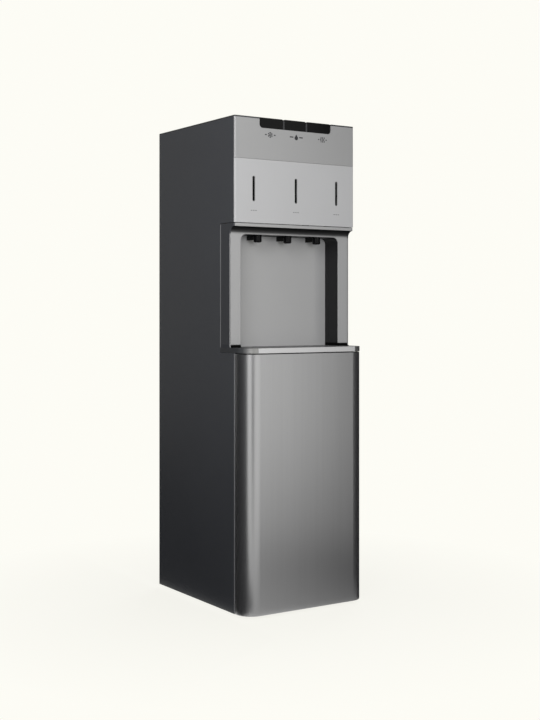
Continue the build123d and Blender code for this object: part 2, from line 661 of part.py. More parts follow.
def door_liner():
    """Inner door panel with a dished middle and a slot for the magnet."""
    half = HALF - DOOR_LINER_INSET
    back = DOOR_BACK_Y - SHEET - FIT
    z = (DOOR_Z + CAP_HEIGHT + FIT, DOOR_TOP_Z - CAP_HEIGHT - FIT)
    middle = (z[0] + z[1]) / 2
    size = (2 * half - 2 * PAN_MARGIN, z[1] - z[0] - 2 * PAN_MARGIN)
    outer = Pos(0, middle) * RectangleRounded(size[0], size[1], PAN_R)
    inner = Pos(0, middle) * RectangleRounded(size[0] - 2 * WALL, size[1] - 2 * WALL, PAN_R - WALL)
    panel = block((-half, half), (back - WALL, back), z)
    panel += through(outer, (back - WALL - PAN_DEPTH, back - WALL))
    panel -= through(inner, (back - PAN_DEPTH, back + OVER))
    return panel


def door_magnet():
    """Bar magnet against the liner, facing the left side panel's folded edge."""
    width, depth, height = MAGNET
    x = FLANGE + OVER - HALF
    z = DOOR_TOP_Z - CAP_HEIGHT - MAGNET_DROP
    low = DOOR_BACK_Y - SHEET - FIT
    return block((x, x + width), (low, low + depth), (z - height, z))


def hinge_outline():
    """Plan outline of a hinge bracket: a pad at the pin and a tongue in the cabinet."""
    inner = HALF - LINER_INSET - THIN_WALL
    knee = FASCIA_Y - HINGE_KNEE
    end = FASCIA_Y + HINGE_REACH
    arm = Polyline((PIN_X - HINGE_PAD_R, PIN_Y), (PIN_X + HINGE_PAD_R, PIN_Y), (inner, knee), (inner, end),
                   (inner - HINGE_WIDTH, end), (inner - HINGE_WIDTH, knee), close=True)
    return make_face(arm) + Pos(PIN_X, PIN_Y) * Circle(HINGE_PAD_R)


def hinge_brackets():
    """The two steel hinge brackets with their riveted pins."""
    lower = raised(hinge_outline(), (BASE_Z - PLATE, BASE_Z))
    lower += post(PIN_R, PIN_X, PIN_Y, (BASE_Z - PLATE, DOOR_Z + PIN_LENGTH))
    upper = raised(hinge_outline(), (LEDGE_Z - PLATE, LEDGE_Z))
    upper += post(PIN_R, PIN_X, PIN_Y, (DOOR_TOP_Z - PIN_LENGTH, LEDGE_Z))
    return group([lower, upper])


def hinge_bushes():
    """Plastic bushes in the door's end caps."""
    solids = []
    for z in ((DOOR_Z, DOOR_Z + BUSH_LENGTH), (DOOR_TOP_Z - BUSH_LENGTH, DOOR_TOP_Z)):
        sleeve = post(BUSH_R, PIN_X, PIN_Y, z)
        solids.append(sleeve - post(PIN_R + RUN, PIN_X, PIN_Y, (z[0] - OVER, z[1] + OVER)))
    return group(solids)


# ---------------------------------------------------------------- niche
def niche_outline(grow):
    """Front view of the niche, rounded at the top and open to the ledge."""
    low = LEDGE_Z
    high = NICHE_TOP_Z + grow
    outline = Pos(0, (low + high) / 2) * Rectangle(2 * (NICHE_HALF + grow), high - low)
    return fillet(outline.vertices().group_by(Axis.Y)[-1], NICHE_CORNER_R + grow)


def skirt_outline():
    """Side view of the skirt: chin, concave sweep, upright frame edge and flared foot."""
    sweep_y = FRAME_Y - SWEEP_R
    low = LEDGE_TOP_Z - OVER
    foot_z = LEDGE_TOP_Z + FOOT_FLARE
    sweep_arc = CenterArc((sweep_y, NICHE_TOP_Z), SWEEP_R, 0, 90)
    foot_arc = CenterArc((FRAME_Y - FOOT_FLARE, foot_z), FOOT_FLARE, 270, 90)
    line = [Polyline((sweep_y, CHIN_Z), (CHIN_Y, CHIN_Z), (CHIN_Y, CHIN_TOP_Z), (SKIRT_Y, CHIN_TOP_Z),
                     (SKIRT_Y, low), (FRAME_Y - FOOT_FLARE, low), (FRAME_Y - FOOT_FLARE, LEDGE_TOP_Z)),
            sweep_arc, Line((FRAME_Y, NICHE_TOP_Z), (FRAME_Y, foot_z)), foot_arc]
    face = make_face(line)
    corner = face.vertices().group_by(Axis.X)[-1].group_by(Axis.Y)[-1]
    return fillet(corner, SKIRT_R)


def ledge():
    """Ledge over the door: rounded slab with the tray's bay and hollow arms."""
    slab = raised(plan(HALF, LEDGE_Y, SKIRT_Y, CORNER_R), (LEDGE_Z, LEDGE_TOP_Z))
    slab += block((-NICHE_HALF - WALL, NICHE_HALF + WALL), (SKIRT_Y - OVER, NICHE_REAR_Y),
                  (LEDGE_Z, LEDGE_TOP_Z))
    slab -= block((-BAY_HALF, BAY_HALF), (LEDGE_Y - OVER, BACKSPLASH_Y),
                  (LEDGE_Z + LEDGE_FLOOR, LEDGE_TOP_Z + OVER))
    slab -= block((-BAY_HALF, BAY_HALF), (LEDGE_Y - OVER, LEDGE_Y + TRAY_LIP + GAP),
                  (LEDGE_Z - OVER, LEDGE_TOP_Z))
    hollow = plan(HALF - WALL, LEDGE_Y + WALL, FASCIA_Y + LEDGE_HOLLOW, CORNER_R - WALL)
    hollow -= Pos(0, LEDGE_Y) * Rectangle(2 * BAY_HALF + 2 * WALL, 4 * LEDGE_PROUD)
    return slab - raised(hollow, (LEDGE_Z - OVER, LEDGE_TOP_Z - WALL))


def niche_housing():
    """Dark moulding: ledge, side skirts and the niche's walls and ceiling."""
    back = (FRAME_Y + TRIM + FIT, NICHE_REAR_Y)
    tunnel = through(niche_outline(WALL), back) - through(niche_outline(0), (back[0] - OVER, back[1] - WALL))
    skirt = across(skirt_outline(), (HALF - WALL, HALF))
    flange = block((NICHE_HALF, HALF - WALL), (back[0], back[0] + WALL), (LEDGE_TOP_Z - OVER, NICHE_TOP_Z))
    foot = across(foot_outline(), (NICHE_HALF, HALF - WALL))
    top_rim = block((-HALF + WALL, HALF - WALL), (SKIRT_Y - WALL, SKIRT_Y), (NICHE_TOP_Z, CHIN_TOP_Z))
    roof = block((-NICHE_HALF, NICHE_HALF), (SKIRT_Y - WALL, SKIRT_Y), (NICHE_TOP_Z, CHIN_TOP_Z))
    housing = ledge() + tunnel + both_sides(skirt + flange + foot) + (top_rim - roof)
    for x in spout_places():
        housing -= post(TAIL_R + FIT, x, SPOUT_Y, (NICHE_TOP_Z - OVER, CHIN_TOP_Z))
    groove = block((NICHE_HALF - OVER, NICHE_HALF + GROOVE), (FASCIA_Y + GROOVE_SETBACK,
                   FASCIA_Y + GROOVE_SETBACK + GROOVE), (LEDGE_TOP_Z, NICHE_TOP_Z - NICHE_CORNER_R))
    return housing - both_sides(groove)


def foot_outline():
    """Side view of the dark strip between the silver frame and the ledge."""
    low = LEDGE_TOP_Z - OVER
    high = LEDGE_TOP_Z + FOOT_STRIP
    foot_z = LEDGE_TOP_Z + FOOT_FLARE
    back = FRAME_Y + TRIM + FIT
    front = FRAME_Y - FOOT_FLARE
    line = [Polyline((FRAME_Y, foot_z), (FRAME_Y, high), (back, high), (back, low), (front, low),
                     (front, LEDGE_TOP_Z)),
            CenterArc((front, foot_z), FOOT_FLARE, 270, 90)]
    return make_face(line)


def trim_outline():
    """Side view of the silver moulding: chin, concave sweep and frame, all one wall."""
    sweep_y = FRAME_Y - SWEEP_R
    chin_y = CHIN_Y - TRIM_PROUD
    shelf_y = CHIN_Y + 3 * TRIM
    foot = LEDGE_TOP_Z + FOOT_STRIP + FIT
    line = [Polyline((sweep_y, CHIN_Z), (chin_y, CHIN_Z), (chin_y, CHIN_TOP_Z),
                     (shelf_y, CHIN_TOP_Z), (shelf_y, CHIN_TOP_Z - TRIM),
                     (chin_y + TRIM, CHIN_TOP_Z - TRIM), (chin_y + TRIM, CHIN_Z + TRIM),
                     (sweep_y, CHIN_Z + TRIM)),
            CenterArc((sweep_y, NICHE_TOP_Z), SWEEP_R + TRIM, 0, 90),
            Polyline((FRAME_Y + TRIM, NICHE_TOP_Z), (FRAME_Y + TRIM, foot), (FRAME_Y, foot),
                     (FRAME_Y, NICHE_TOP_Z)),
            CenterArc((sweep_y, NICHE_TOP_Z), SWEEP_R, 0, 90)]
    return make_face(line)


def niche_trim():
    """Silver frame round the niche, under the chin."""
    half = HALF - WALL - FIT
    trim = across(trim_outline(), (-half, half))
    return trim - through(niche_outline(0), (FRAME_Y - SWEEP_R / 2, FRAME_Y + 2 * TRIM))


def backsplash():
    """Silver back wall of the niche."""
    panel = through(niche_outline(-FIT), (BACKSPLASH_Y, BACKSPLASH_Y + BACKSPLASH))
    low = block((-HALF, HALF), (BACKSPLASH_Y - OVER, BACKSPLASH_Y + BACKSPLASH + OVER),
                (LEDGE_Z - OVER, LEDGE_TOP_Z + FIT))
    return panel - low


def drip_tray():
    """Shallow tray that slides out of the ledge; its lip closes the ledge's front."""
    half = TRAY_HALF
    floor_z = LEDGE_Z + LEDGE_FLOOR
    back = BACKSPLASH_Y - GAP
    front = LEDGE_Y + TRAY_LIP
    body = block((-half, half), (front, back), (floor_z, LEDGE_TOP_Z - GRILLE_HEIGHT))
    basin = block((-half + TRAY_RIM, half - TRAY_RIM), (front + TRAY_RIM, back - TRAY_RIM),
                  (floor_z + TRAY_FLOOR, LEDGE_TOP_Z))
    basin = fillet(basin.edges().filter_by(Axis.Z), TRAY_CORNER_R)
    lip = block((-half, half), (LEDGE_Y, front), (LEDGE_Z, LEDGE_TOP_Z))
    return body - basin + lip


def drip_grille():
    """Plate with two rows of slots that lies on the tray's rim, behind its lip."""
    half = TRAY_HALF - GAP
    front = LEDGE_Y + TRAY_LIP + GAP
    back = BACKSPLASH_Y - 2 * GAP
    z = (LEDGE_TOP_Z - GRILLE_HEIGHT, LEDGE_TOP_Z)
    plate = block((-half, half), (front, back), z)
    plate = fillet(plate.edges().filter_by(Axis.Z), GRILLE_CORNER_R)
    pitch = (2 * half - 2 * GRILLE_RIM) / GRILLE_BARS
    length = back - front - 2 * GRILLE_RIM
    middle = (front + back) / 2
    slots = []
    for index in range(GRILLE_BARS):
        x = -half + GRILLE_RIM + (index + 0.5) * pitch
        for side in (-1, 1):
            y = middle + side * (length + GRILLE_WEB) / 4
            slot = Rot(0, 0, 90) * SlotOverall((length - GRILLE_WEB) / 2, GRILLE_SLOT)
            slots.append(Pos(x, y, z[0]) * extrude(slot, GRILLE_HEIGHT))
    return plate - slots


# ---------------------------------------------------------------- spouts and valves
def spout_places():
    return (-SPOUT_PITCH, 0.0, SPOUT_PITCH)


def spout(x):
    """Nozzle with a chamfered tip, an arm to the backsplash and a tail to its valve."""
    tip = NICHE_TOP_Z - SPOUT_DROP
    nozzle = post(SPOUT_R, x, SPOUT_Y, (tip, NICHE_TOP_Z - FIT))
    nozzle = chamfer(nozzle.edges().group_by(Axis.Z)[0], SPOUT_CHAMFER)
    arm = block((x - ARM_WIDTH / 2, x + ARM_WIDTH / 2), (SPOUT_Y, BACKSPLASH_Y - FIT),
                (NICHE_TOP_Z - FIT - ARM_HEIGHT, NICHE_TOP_Z - FIT))
    tail = post(TAIL_R, x, SPOUT_Y, (NICHE_TOP_Z - FIT, NICHE_TOP_Z + TAIL_HEIGHT))
    bore = post(SPOUT_BORE_R, x, SPOUT_Y, (tip - OVER, NICHE_TOP_Z + TAIL_HEIGHT + OVER))
    return nozzle + arm + tail - bore


def valve_axis_z():
    """Height of the valves' inlets, level with the tanks' outlets."""
    return NICHE_TOP_Z + TAIL_HEIGHT + VALVE[2] / 2


def solenoid_valves():
    """Three valves over the spouts: body, coil and inlet nipple."""
    solids = []
    width, depth, height = VALVE
    low = NICHE_TOP_Z + TAIL_HEIGHT
    for x in spout_places():
        body = block((x - width / 2, x + width / 2), (SPOUT_Y - depth / 2, SPOUT_Y + depth / 2),
                     (low, low + height))
        body = fillet(body.edges().filter_by(Axis.Z), VALVE_EDGE_R)
        body += post(COIL_R, x, SPOUT_Y, (low + height, low + height + COIL_HEIGHT))
        nipple_y = (SPOUT_Y + depth / 2, SPOUT_Y + depth / 2 + NIPPLE_LENGTH)
        solids.append(body + rod(NIPPLE_R, x, nipple_y, valve_axis_z()))
    return group(solids)


# ---------------------------------------------------------------- front panels
def front_panel(low, high):
    """Front moulding with rounded side edges and a collar inside the side panels."""
    z = (low, high)
    face = raised(plan(HALF, FASCIA_Y, FASCIA_Y + EDGE_R, EDGE_R - FIT), z)
    collar = block((-INNER, INNER), (FASCIA_Y + EDGE_R - OVER, FASCIA_Y + COLLAR_DEPTH), z)
    inside = block((-INNER + WALL, INNER - WALL), (FASCIA_Y + FRONT_WALL, FASCIA_Y + COLLAR_DEPTH + OVER), z)
    return face + collar - inside


def slot_z():
    return INDICATOR_Z + INDICATOR_HEIGHT / 2 + SLOT_OFFSET


def slot_places():
    return [(x, slot_z()) for x in (-SLOT_PITCH, 0.0, SLOT_PITCH)]


def slot_outline(place, grow):
    """Front view of an upright indicator slot, moved out by a margin."""
    return Pos(*place) * Rot(0, 0, 90) * SlotOverall(SLOT_LENGTH + 2 * grow, SLOT_WIDTH + 2 * grow)


def indicator_panel():
    """Lighter panel with three upright indicator slots."""
    panel = front_panel(INDICATOR_Z, INDICATOR_TOP_Z)
    corner = block((HALF - INDICATOR_R, HALF + OVER), (FASCIA_Y - OVER, FASCIA_Y + FRONT_WALL),
                   (INDICATOR_TOP_Z - INDICATOR_R, INDICATOR_TOP_Z + OVER))
    corner -= rod(INDICATOR_R, HALF - INDICATOR_R, (FASCIA_Y - 2 * OVER, FASCIA_Y + FRONT_WALL + OVER),
                  INDICATOR_TOP_Z - INDICATOR_R)
    panel -= both_sides(corner)
    for place in slot_places():
        panel -= through(slot_outline(place, 0), (FASCIA_Y - OVER, FASCIA_Y + FRONT_WALL + OVER))
    return panel


def indicator_windows():
    """Dark light guides in the slots, flanged behind the panel."""
    solids = []
    seat = FASCIA_Y + FRONT_WALL + FIT
    for place in slot_places():
        guide = through(slot_outline(place, -FIT), (FASCIA_Y + WINDOW_RECESS, seat))
        solids.append(guide + through(slot_outline(place, WINDOW_RIM), (seat, FASCIA_Y + WINDOW_DEPTH)))
    return group(solids)


def indicator_board():
    """Circuit board behind the light guides, with its spacers to the panel."""
    board_y = (FASCIA_Y + WINDOW_DEPTH + FIT, FASCIA_Y + WINDOW_DEPTH + FIT + BOARD)
    width = 2 * (SLOT_PITCH + BOARD_MARGIN)
    board = through(Pos(0, slot_z()) * RectangleRounded(width, BOARD_HEIGHT, BOARD_CORNER_R), board_y)
    rise = BOARD_HEIGHT / 2 - SPACER_INSET
    for x in (-SLOT_PITCH / 2, SLOT_PITCH / 2):
        for z in (slot_z() - rise, slot_z() + rise):
            board += rod(SPACER_R, x, (FASCIA_Y + FRONT_WALL, board_y[0]), z)
    return board


def control_fascia():
    """Upper front panel, notched along its top for the key bar."""
    panel = front_panel(FASCIA_Z, COVER_Z)
    low = NOTCH_Z
    high = TOP_Z + KEY_BAR_HEIGHT
    notch = Pos(0, (low + high) / 2) * RectangleRounded(KEY_BAR_WIDTH, high - low, KEY_BAR_R)
    return panel - through(notch, (FASCIA_Y - OVER, FASCIA_Y + FRONT_WALL + OVER))


# ---------------------------------------------------------------- keys
def key_spans():
    """The keys' sides, left to right, between the notch's ends and the dividers."""
    edges = [-KEY_BAR_WIDTH / 2 + GAP, -DIVIDER_X - DIVIDER / 2 - GAP, -DIVIDER_X + DIVIDER / 2 + GAP,
             DIVIDER_X - DIVIDER / 2 - GAP, DIVIDER_X + DIVIDER / 2 + GAP, KEY_BAR_WIDTH / 2 - GAP]
    return [(edges[0], edges[1]), (edges[2], edges[3]), (edges[4], edges[5])]


def key(index):
    """A hollow key cap that slides down on its stem into a snap switch."""
    x = key_spans()[index]
    y = (KEY_FACE_Y, KEY_BACK_Y)
    top = TOP_Z + KEY_CROWN
    cap = block(x, y, (KEY_Z, top))
    cap = fillet(cap.edges().group_by(Axis.Z)[-1], KEY_EDGE_R)
    cap -= block((x[0] + KEY_WALL, x[1] - KEY_WALL), (y[0] + KEY_WALL, y[1] - KEY_WALL),
                 (KEY_Z - OVER, top - KEY_WALL))
    lip_top = COVER_Z - FIT
    cap += block(x, (y[1], y[1] + KEY_LIP[0]), (lip_top - KEY_LIP[1], lip_top))
    middle = ((x[0] + x[1]) / 2, (y[0] + y[1]) / 2)
    return cap + post(KEY_STEM_R, middle[0], middle[1], (switch_top() - KEY_TRAVEL, top - KEY_WALL))


def housing_floor_z():
    """Top of the key housing's floor, clear of a pressed key."""
    return KEY_Z - KEY_TRAVEL - 2 * GAP


def switch_top():
    return housing_floor_z() + SWITCH[2]


def key_housing():
    """Tray behind the fascia, its dividers level with the key faces."""
    half = KEY_BAR_WIDTH / 2
    floor = housing_floor_z()
    front = FASCIA_Y + FRONT_WALL
    y = (front, POCKET_Y)
    housing = block((-half - HOUSING_WALL, half + HOUSING_WALL), (front, y[1] + HOUSING_WALL),
                    (floor - HOUSING_WALL, COVER_Z - FIT))
    for index in range(3):
        x = key_spans()[index]
        housing -= block((x[0] - GAP, x[1] + GAP), y, (floor, COVER_Z + OVER))
    return housing


def key_switches():
    """Snap switches on the housing's floor, bored for the keys' stems."""
    solids = []
    width, depth, height = SWITCH
    floor = housing_floor_z()
    for x in key_spans():
        middle = ((x[0] + x[1]) / 2, (KEY_FACE_Y + KEY_BACK_Y) / 2)
        body = block((middle[0] - width / 2, middle[0] + width / 2),
                     (middle[1] - depth / 2, middle[1] + depth / 2), (floor, floor + height))
        bore_z = (floor + height - 2 * KEY_TRAVEL - OVER, floor + height + OVER)
        solids.append(body - post(KEY_STEM_R + RUN, middle[0], middle[1], bore_z))
    return group(solids)


# ---------------------------------------------------------------- tanks and water circuit
def tank(x, radius, jacket_height):
    """A thin-walled steel tank with rounded ends."""
    z = (TANK_FLOOR_Z + FOAM_FLOOR, TANK_FLOOR_Z + jacket_height - FOAM_TOP)
    shell = post(radius, x, TANK_Y, z)
    shell = fillet(shell.edges(), TANK_EDGE_R)
    inside = post(radius - TANK_WALL, x, TANK_Y, (z[0] + TANK_WALL, z[1] - TANK_WALL))
    shell -= fillet(inside.edges(), TANK_EDGE_R - TANK_WALL)
    return shell


def outlet_z():
    return TANK_FLOOR_Z + FOAM_FLOOR + OUTLET_RISE


def tank_outlet(x, radius, jacket_radius):
    """Nipple from a tank's wall out through its jacket."""
    span = (TANK_Y - jacket_radius - NIPPLE_LENGTH, TANK_Y - radius + TANK_WALL)
    return rod(NIPPLE_R, x, span, outlet_z())


def cold_tank():
    """Cold tank with the evaporator tube brazed round it and its ports."""
    shell = tank(-TANK_X, COLD_TANK_R, COLD_JACKET_HEIGHT)
    shell += tank_outlet(-TANK_X, COLD_TANK_R, COLD_JACKET_R)
    port_low = TANK_FLOOR_Z + COLD_JACKET_HEIGHT - FOAM_TOP - TANK_WALL
    for x in (CHANNEL_X, link_ends()[0]):
        shell += post(NIPPLE_R, x, TANK_Y, (port_low, port_top(COLD_JACKET_HEIGHT)))
    radius = COLD_TANK_R + COIL_TUBE[0] / 2 - COIL_SINK
    path = Helix(pitch=COIL_PITCH, height=COIL_PITCH * COIL_TURNS, radius=radius)
    section = Plane(origin=path @ 0, x_dir=(1, 0, 0), z_dir=path % 0) * Rectangle(*COIL_TUBE)
    coil = sweep(section, path=path, is_frenet=True)
    return shell + Pos(-TANK_X, TANK_Y, outlet_z() + COIL_START) * coil


def hot_tank():
    """Hot tank with its outlet and its inlet port."""
    shell = tank(TANK_X, HOT_TANK_R, HOT_JACKET_HEIGHT)
    shell += tank_outlet(TANK_X, HOT_TANK_R, HOT_JACKET_R)
    port_low = TANK_FLOOR_Z + HOT_JACKET_HEIGHT - FOAM_TOP - TANK_WALL
    return shell + post(NIPPLE_R, link_ends()[1], TANK_Y, (port_low, port_top(HOT_JACKET_HEIGHT)))


def port_top(jacket_height):
    return TANK_FLOOR_Z + jacket_height + NIPPLE_LENGTH


def link_ends():
    """Sides of the hose that links the two tanks."""
    return (COLD_PORT_X - TANK_X, TANK_X - HOT_PORT_X)


def jacket(x, radius, height, tank_radius, ports):
    """Foam jacket moulded round a tank, with holes for its ports."""
    z = (TANK_FLOOR_Z, TANK_FLOOR_Z + height)
    foam = fillet(post(radius, x, TANK_Y, z).edges(), JACKET_EDGE_R)
    foam -= post(tank_radius + FIT, x, TANK_Y, (z[0] + FOAM_FLOOR - FIT, z[1] - FOAM_TOP + FIT))
    foam -= rod(NIPPLE_R + FIT, x, (TANK_Y - radius - OVER, TANK_Y), outlet_z())
    for port in ports:
        foam -= post(NIPPLE_R + FIT, port, TANK_Y, (z[1] - FOAM_TOP - OVER, z[1] + OVER))
    return foam


def cold_tank_jacket():
    return jacket(-TANK_X, COLD_JACKET_R, COLD_JACKET_HEIGHT, COLD_TANK_R + COIL_TUBE[0],
                  (CHANNEL_X, link_ends()[0]))


def hot_tank_jacket():
    return jacket(TANK_X, HOT_JACKET_R, HOT_JACKET_HEIGHT, HOT_TANK_R, (link_ends()[1],))


def water_pump():
    """Diaphragm pump on moulded legs, with its inlet below and its outlets in front."""
    width, depth, height = PUMP_HEAD
    x = CHANNEL_X
    low = SHELF_TOP_Z + PUMP_LEGS
    head = block((x - width / 2, x + width / 2), (PUMP_Y - depth / 2, PUMP_Y + depth / 2),
                 (low, low + height))
    head = fillet(head.edges().filter_by(Axis.Z), PUMP_EDGE_R)
    head += post(PUMP_MOTOR_R, x, PUMP_Y, (low + height, low + height + PUMP_MOTOR_HEIGHT))
    for side in (-1, 1):
        edge = x + side * (width / 2 - LEG_INSET)
        head += block((edge - LEG / 2, edge + LEG / 2), (PUMP_Y - LEG_DEPTH / 2, PUMP_Y + LEG_DEPTH / 2),
                      (SHELF_TOP_Z, low))
    head += post(NIPPLE_R, x, PUMP_Y, (low - NIPPLE_LENGTH, low))
    front = PUMP_Y - depth / 2
    for place in pump_outlets():
        head += rod(NIPPLE_R, place, (front - NIPPLE_LENGTH, front), low + height / 2)
    return head


def pump_outlets():
    return (CHANNEL_X - PUMP_OUTLET_X, CHANNEL_X + PUMP_OUTLET_X)


def pump_outlet_y():
    return PUMP_Y - PUMP_HEAD[1] / 2 - NIPPLE_LENGTH


def pump_outlet_z():
    return SHELF_TOP_Z + PUMP_LEGS + PUMP_HEAD[2] / 2


def riser_y():
    """Plane of the hoses that rise between the niche and the tanks."""
    return (NICHE_REAR_Y + TANK_SHELF_FRONT_Y) / 2


def feed_hose():
    """Hose from the pump up to the cold tank's top port."""
    x = pump_outlets()[0]
    top = port_top(COLD_JACKET_HEIGHT) + FEED_ARCH
    points = [(x, pump_outlet_y(), pump_outlet_z()), (x, riser_y(), pump_outlet_z()), (x, riser_y(), top),
              (CHANNEL_X, TANK_Y, top), (CHANNEL_X, TANK_Y, port_top(COLD_JACKET_HEIGHT))]
    return tube(points, FEED_BENDS, HOSE_R, HOSE_BORE_R)


def link_hose():
    """Hose between the two tanks' top ports."""
    left, right = link_ends()
    top = port_top(COLD_JACKET_HEIGHT) + LINK_ARCH
    points = [(left, TANK_Y, port_top(COLD_JACKET_HEIGHT)), (left, TANK_Y, top), (right, TANK_Y, top),
              (right, TANK_Y, port_top(HOT_JACKET_HEIGHT))]
    return tube(points, LINK_BENDS, HOSE_R, HOSE_BORE_R)


def dispense_hoses():
    """Hoses to the three valves: from the cold tank, the pump and the hot tank."""
    valve_y = SPOUT_Y + VALVE[1] / 2 + NIPPLE_LENGTH
    level = valve_axis_z()
    solids = []
    for side, radius in ((-1, COLD_JACKET_R), (1, HOT_JACKET_R)):
        x = side * SPOUT_PITCH
        end = TANK_Y - radius - NIPPLE_LENGTH
        third = (end - valve_y) / 3
        points = [(x, valve_y, level), (x, valve_y + third, level),
                  (side * TANK_X, end - third, outlet_z()), (side * TANK_X, end, outlet_z())]
        solids.append(tube(points, [DISPENSE_BEND, DISPENSE_BEND], HOSE_R, HOSE_BORE_R))
    warm_x = pump_outlets()[1]
    start_z = pump_outlet_z()
    points = [(0, valve_y, level), (0, riser_y(), level), (0, riser_y(), start_z + WARM_STEP[1]),
              (warm_x, riser_y(), start_z + WARM_STEP[0]), (warm_x, riser_y(), start_z),
              (warm_x, pump_outlet_y(), start_z)]
    solids.append(tube(points, WARM_BENDS, HOSE_R, HOSE_BORE_R))
    return group(solids)


# ---------------------------------------------------------------- refrigeration
def compressor():
    """Sealed compressor: domed shell on a foot plate, with its terminal cover."""
    low = COMPRESSOR_Z
    margin, thick, corner = FOOT_PLATE
    span = GROMMET_SPAN + margin
    shell = post(COMPRESSOR_R, COMPRESSOR_X, COMPRESSOR_Y, (low + thick / 2, low + COMPRESSOR_HEIGHT))
    shell = fillet(shell.edges().group_by(Axis.Z)[-1], COMPRESSOR_DOME_R)
    shell = fillet(shell.edges().group_by(Axis.Z)[0], COMPRESSOR_BASE_R)
    shell += Pos(COMPRESSOR_X, COMPRESSOR_Y, low) * extrude(RectangleRounded(span, span, corner), thick)
    front = COMPRESSOR_Y - COMPRESSOR_R
    width, depth, height = TERMINAL_COVER
    cover = block((COMPRESSOR_X - width / 2, COMPRESSOR_X + width / 2),
                  (front - depth / 2, front + depth / 2),
                  (low + TERMINAL_RISE, low + TERMINAL_RISE + height))
    shell += fillet(cover.edges().filter_by(Axis.Y), TERMINAL_EDGE_R)
    for x, y in grommet_places():
        shell -= post(GROMMET_NECK_R, x, y, (low - OVER, low + thick + OVER))
    return shell


def grommet_places():
    half = GROMMET_SPAN / 2
    return [(COMPRESSOR_X + dx, COMPRESSOR_Y + dy) for dx in (-half, half) for dy in (-half, half)]


def compressor_grommets():
    """Rubber mounts between the shelf and the compressor's foot plate."""
    solids = []
    for x, y in grommet_places():
        foot = post(GROMMET_R, x, y, (SHELF_TOP_Z, COMPRESSOR_Z))
        solids.append(foot + post(GROMMET_NECK_R - FIT, x, y, (COMPRESSOR_Z, COMPRESSOR_Z + GROMMET_CAP)))
    return group(solids)


def condenser_rows():
    low = SHELF_TOP_Z + CONDENSER_RISE
    pitch = (COVER_Z - CONDENSER_DROP - low) / (CONDENSER_ROWS - 1)
    return [low + row * pitch for row in range(CONDENSER_ROWS)]


def condenser_ends():
    """Where the condenser's tube passes the rear panel: outlet below, inlet above."""
    rows = condenser_rows()
    inset = 3 * CONDENSER_BEND
    last = CONDENSER_RIGHT - inset if CONDENSER_ROWS % 2 else CONDENSER_LEFT + inset
    return [(CONDENSER_LEFT + inset, rows[0]), (last, rows[-1])]


def condenser():
    """Serpentine tube with upright wires welded across it."""
    rows = condenser_rows()
    start_y = REAR_PANEL_Y + SHEET + FIT
    points = [(condenser_ends()[0][0], start_y, rows[0]), (condenser_ends()[0][0], CONDENSER_Y, rows[0])]
    radii = [CONDENSER_Y - start_y - FIT]
    for row, z in enumerate(rows[:-1]):
        side = CONDENSER_RIGHT if row % 2 == 0 else CONDENSER_LEFT
        points += [(side, CONDENSER_Y, z), (side, CONDENSER_Y, rows[row + 1])]
        radii += [CONDENSER_BEND, CONDENSER_BEND]
    points += [(condenser_ends()[1][0], CONDENSER_Y, rows[-1]), (condenser_ends()[1][0], start_y, rows[-1])]
    radii += [CONDENSER_Y - start_y - FIT]
    coil = tube(points, radii, TUBE_R)
    room = CONDENSER_RIGHT - CONDENSER_LEFT - 2 * WIRE_MARGIN
    count = int(room / WIRE_PITCH) + 1
    first = CONDENSER_LEFT + WIRE_MARGIN
    span = (rows[0] - WIRE_TAIL, rows[-1] + WIRE_TAIL)
    wires = []
    for index in range(count):
        y = CONDENSER_Y + TUBE_R + WIRE_R - WIRE_SINK
        wires.append(post(WIRE_R, first + index * WIRE_PITCH, y, span))
    return coil + wires


def suction_x():
    """Upright run of the suction tube, beside the compressor."""
    return COMPRESSOR_X - COMPRESSOR_R - SUCTION_GAP


def suction_tube():
    """Tube from under the cold tank to the compressor's side."""
    level = COMPRESSOR_Z + SUCTION_RISE
    points = [(suction_x(), COMPRESSOR_Y, TANK_FLOOR_Z - FIT), (suction_x(), COMPRESSOR_Y, level),
              (COMPRESSOR_X - COMPRESSOR_R - FIT, COMPRESSOR_Y, level)]
    return tube(points, [SUCTION_BEND], TUBE_R)


def discharge_tube():
    """Tube from the compressor's back to the condenser's inlet."""
    x, z = condenser_ends()[1]
    level = COMPRESSOR_Z + DISCHARGE_RISE
    run_y = TANK_SHELF_BACK_Y + DISCHARGE_GAP
    points = [(COMPRESSOR_X, COMPRESSOR_Y + COMPRESSOR_R + FIT, level), (COMPRESSOR_X, run_y, level),
              (x, run_y, level + DISCHARGE_CLIMB), (x, run_y, z), (x, REAR_PANEL_Y + SHEET, z)]
    return tube(points, DISCHARGE_BENDS, TUBE_R)


def filter_dryer():
    """Filter dryer after the condenser's outlet, with the capillary to the cold tank."""
    x, z = condenser_ends()[0]
    run_y = TANK_SHELF_BACK_Y + DRYER_GAP
    low = z + DRYER_RISE
    lead = tube([(x, REAR_PANEL_Y + SHEET, z), (x, run_y, z), (x, run_y, low)], [DRYER_BEND], TUBE_R)
    body = post(DRYER_R, x, run_y, (low, low + DRYER_LENGTH))
    body = fillet(body.edges(), DRYER_EDGE_R)
    entry = outlet_z() + COIL_START / 2
    reach = (COLD_JACKET_R**2 - (x + TANK_X)**2) ** 0.5
    points = [(x, run_y, low + DRYER_LENGTH - OVER), (x, run_y, entry), (x, TANK_Y + reach + 3 * GAP, entry)]
    return lead + body + tube(points, [CAPILLARY_BEND], CAPILLARY_R)


# ---------------------------------------------------------------- rear fittings
def rocker_z(index):
    return TANK_FLOOR_Z + SWITCH_RISE + index * SWITCH_PITCH


def rocker_span(index, half):
    return (rocker_z(index) - half, rocker_z(index) + half)


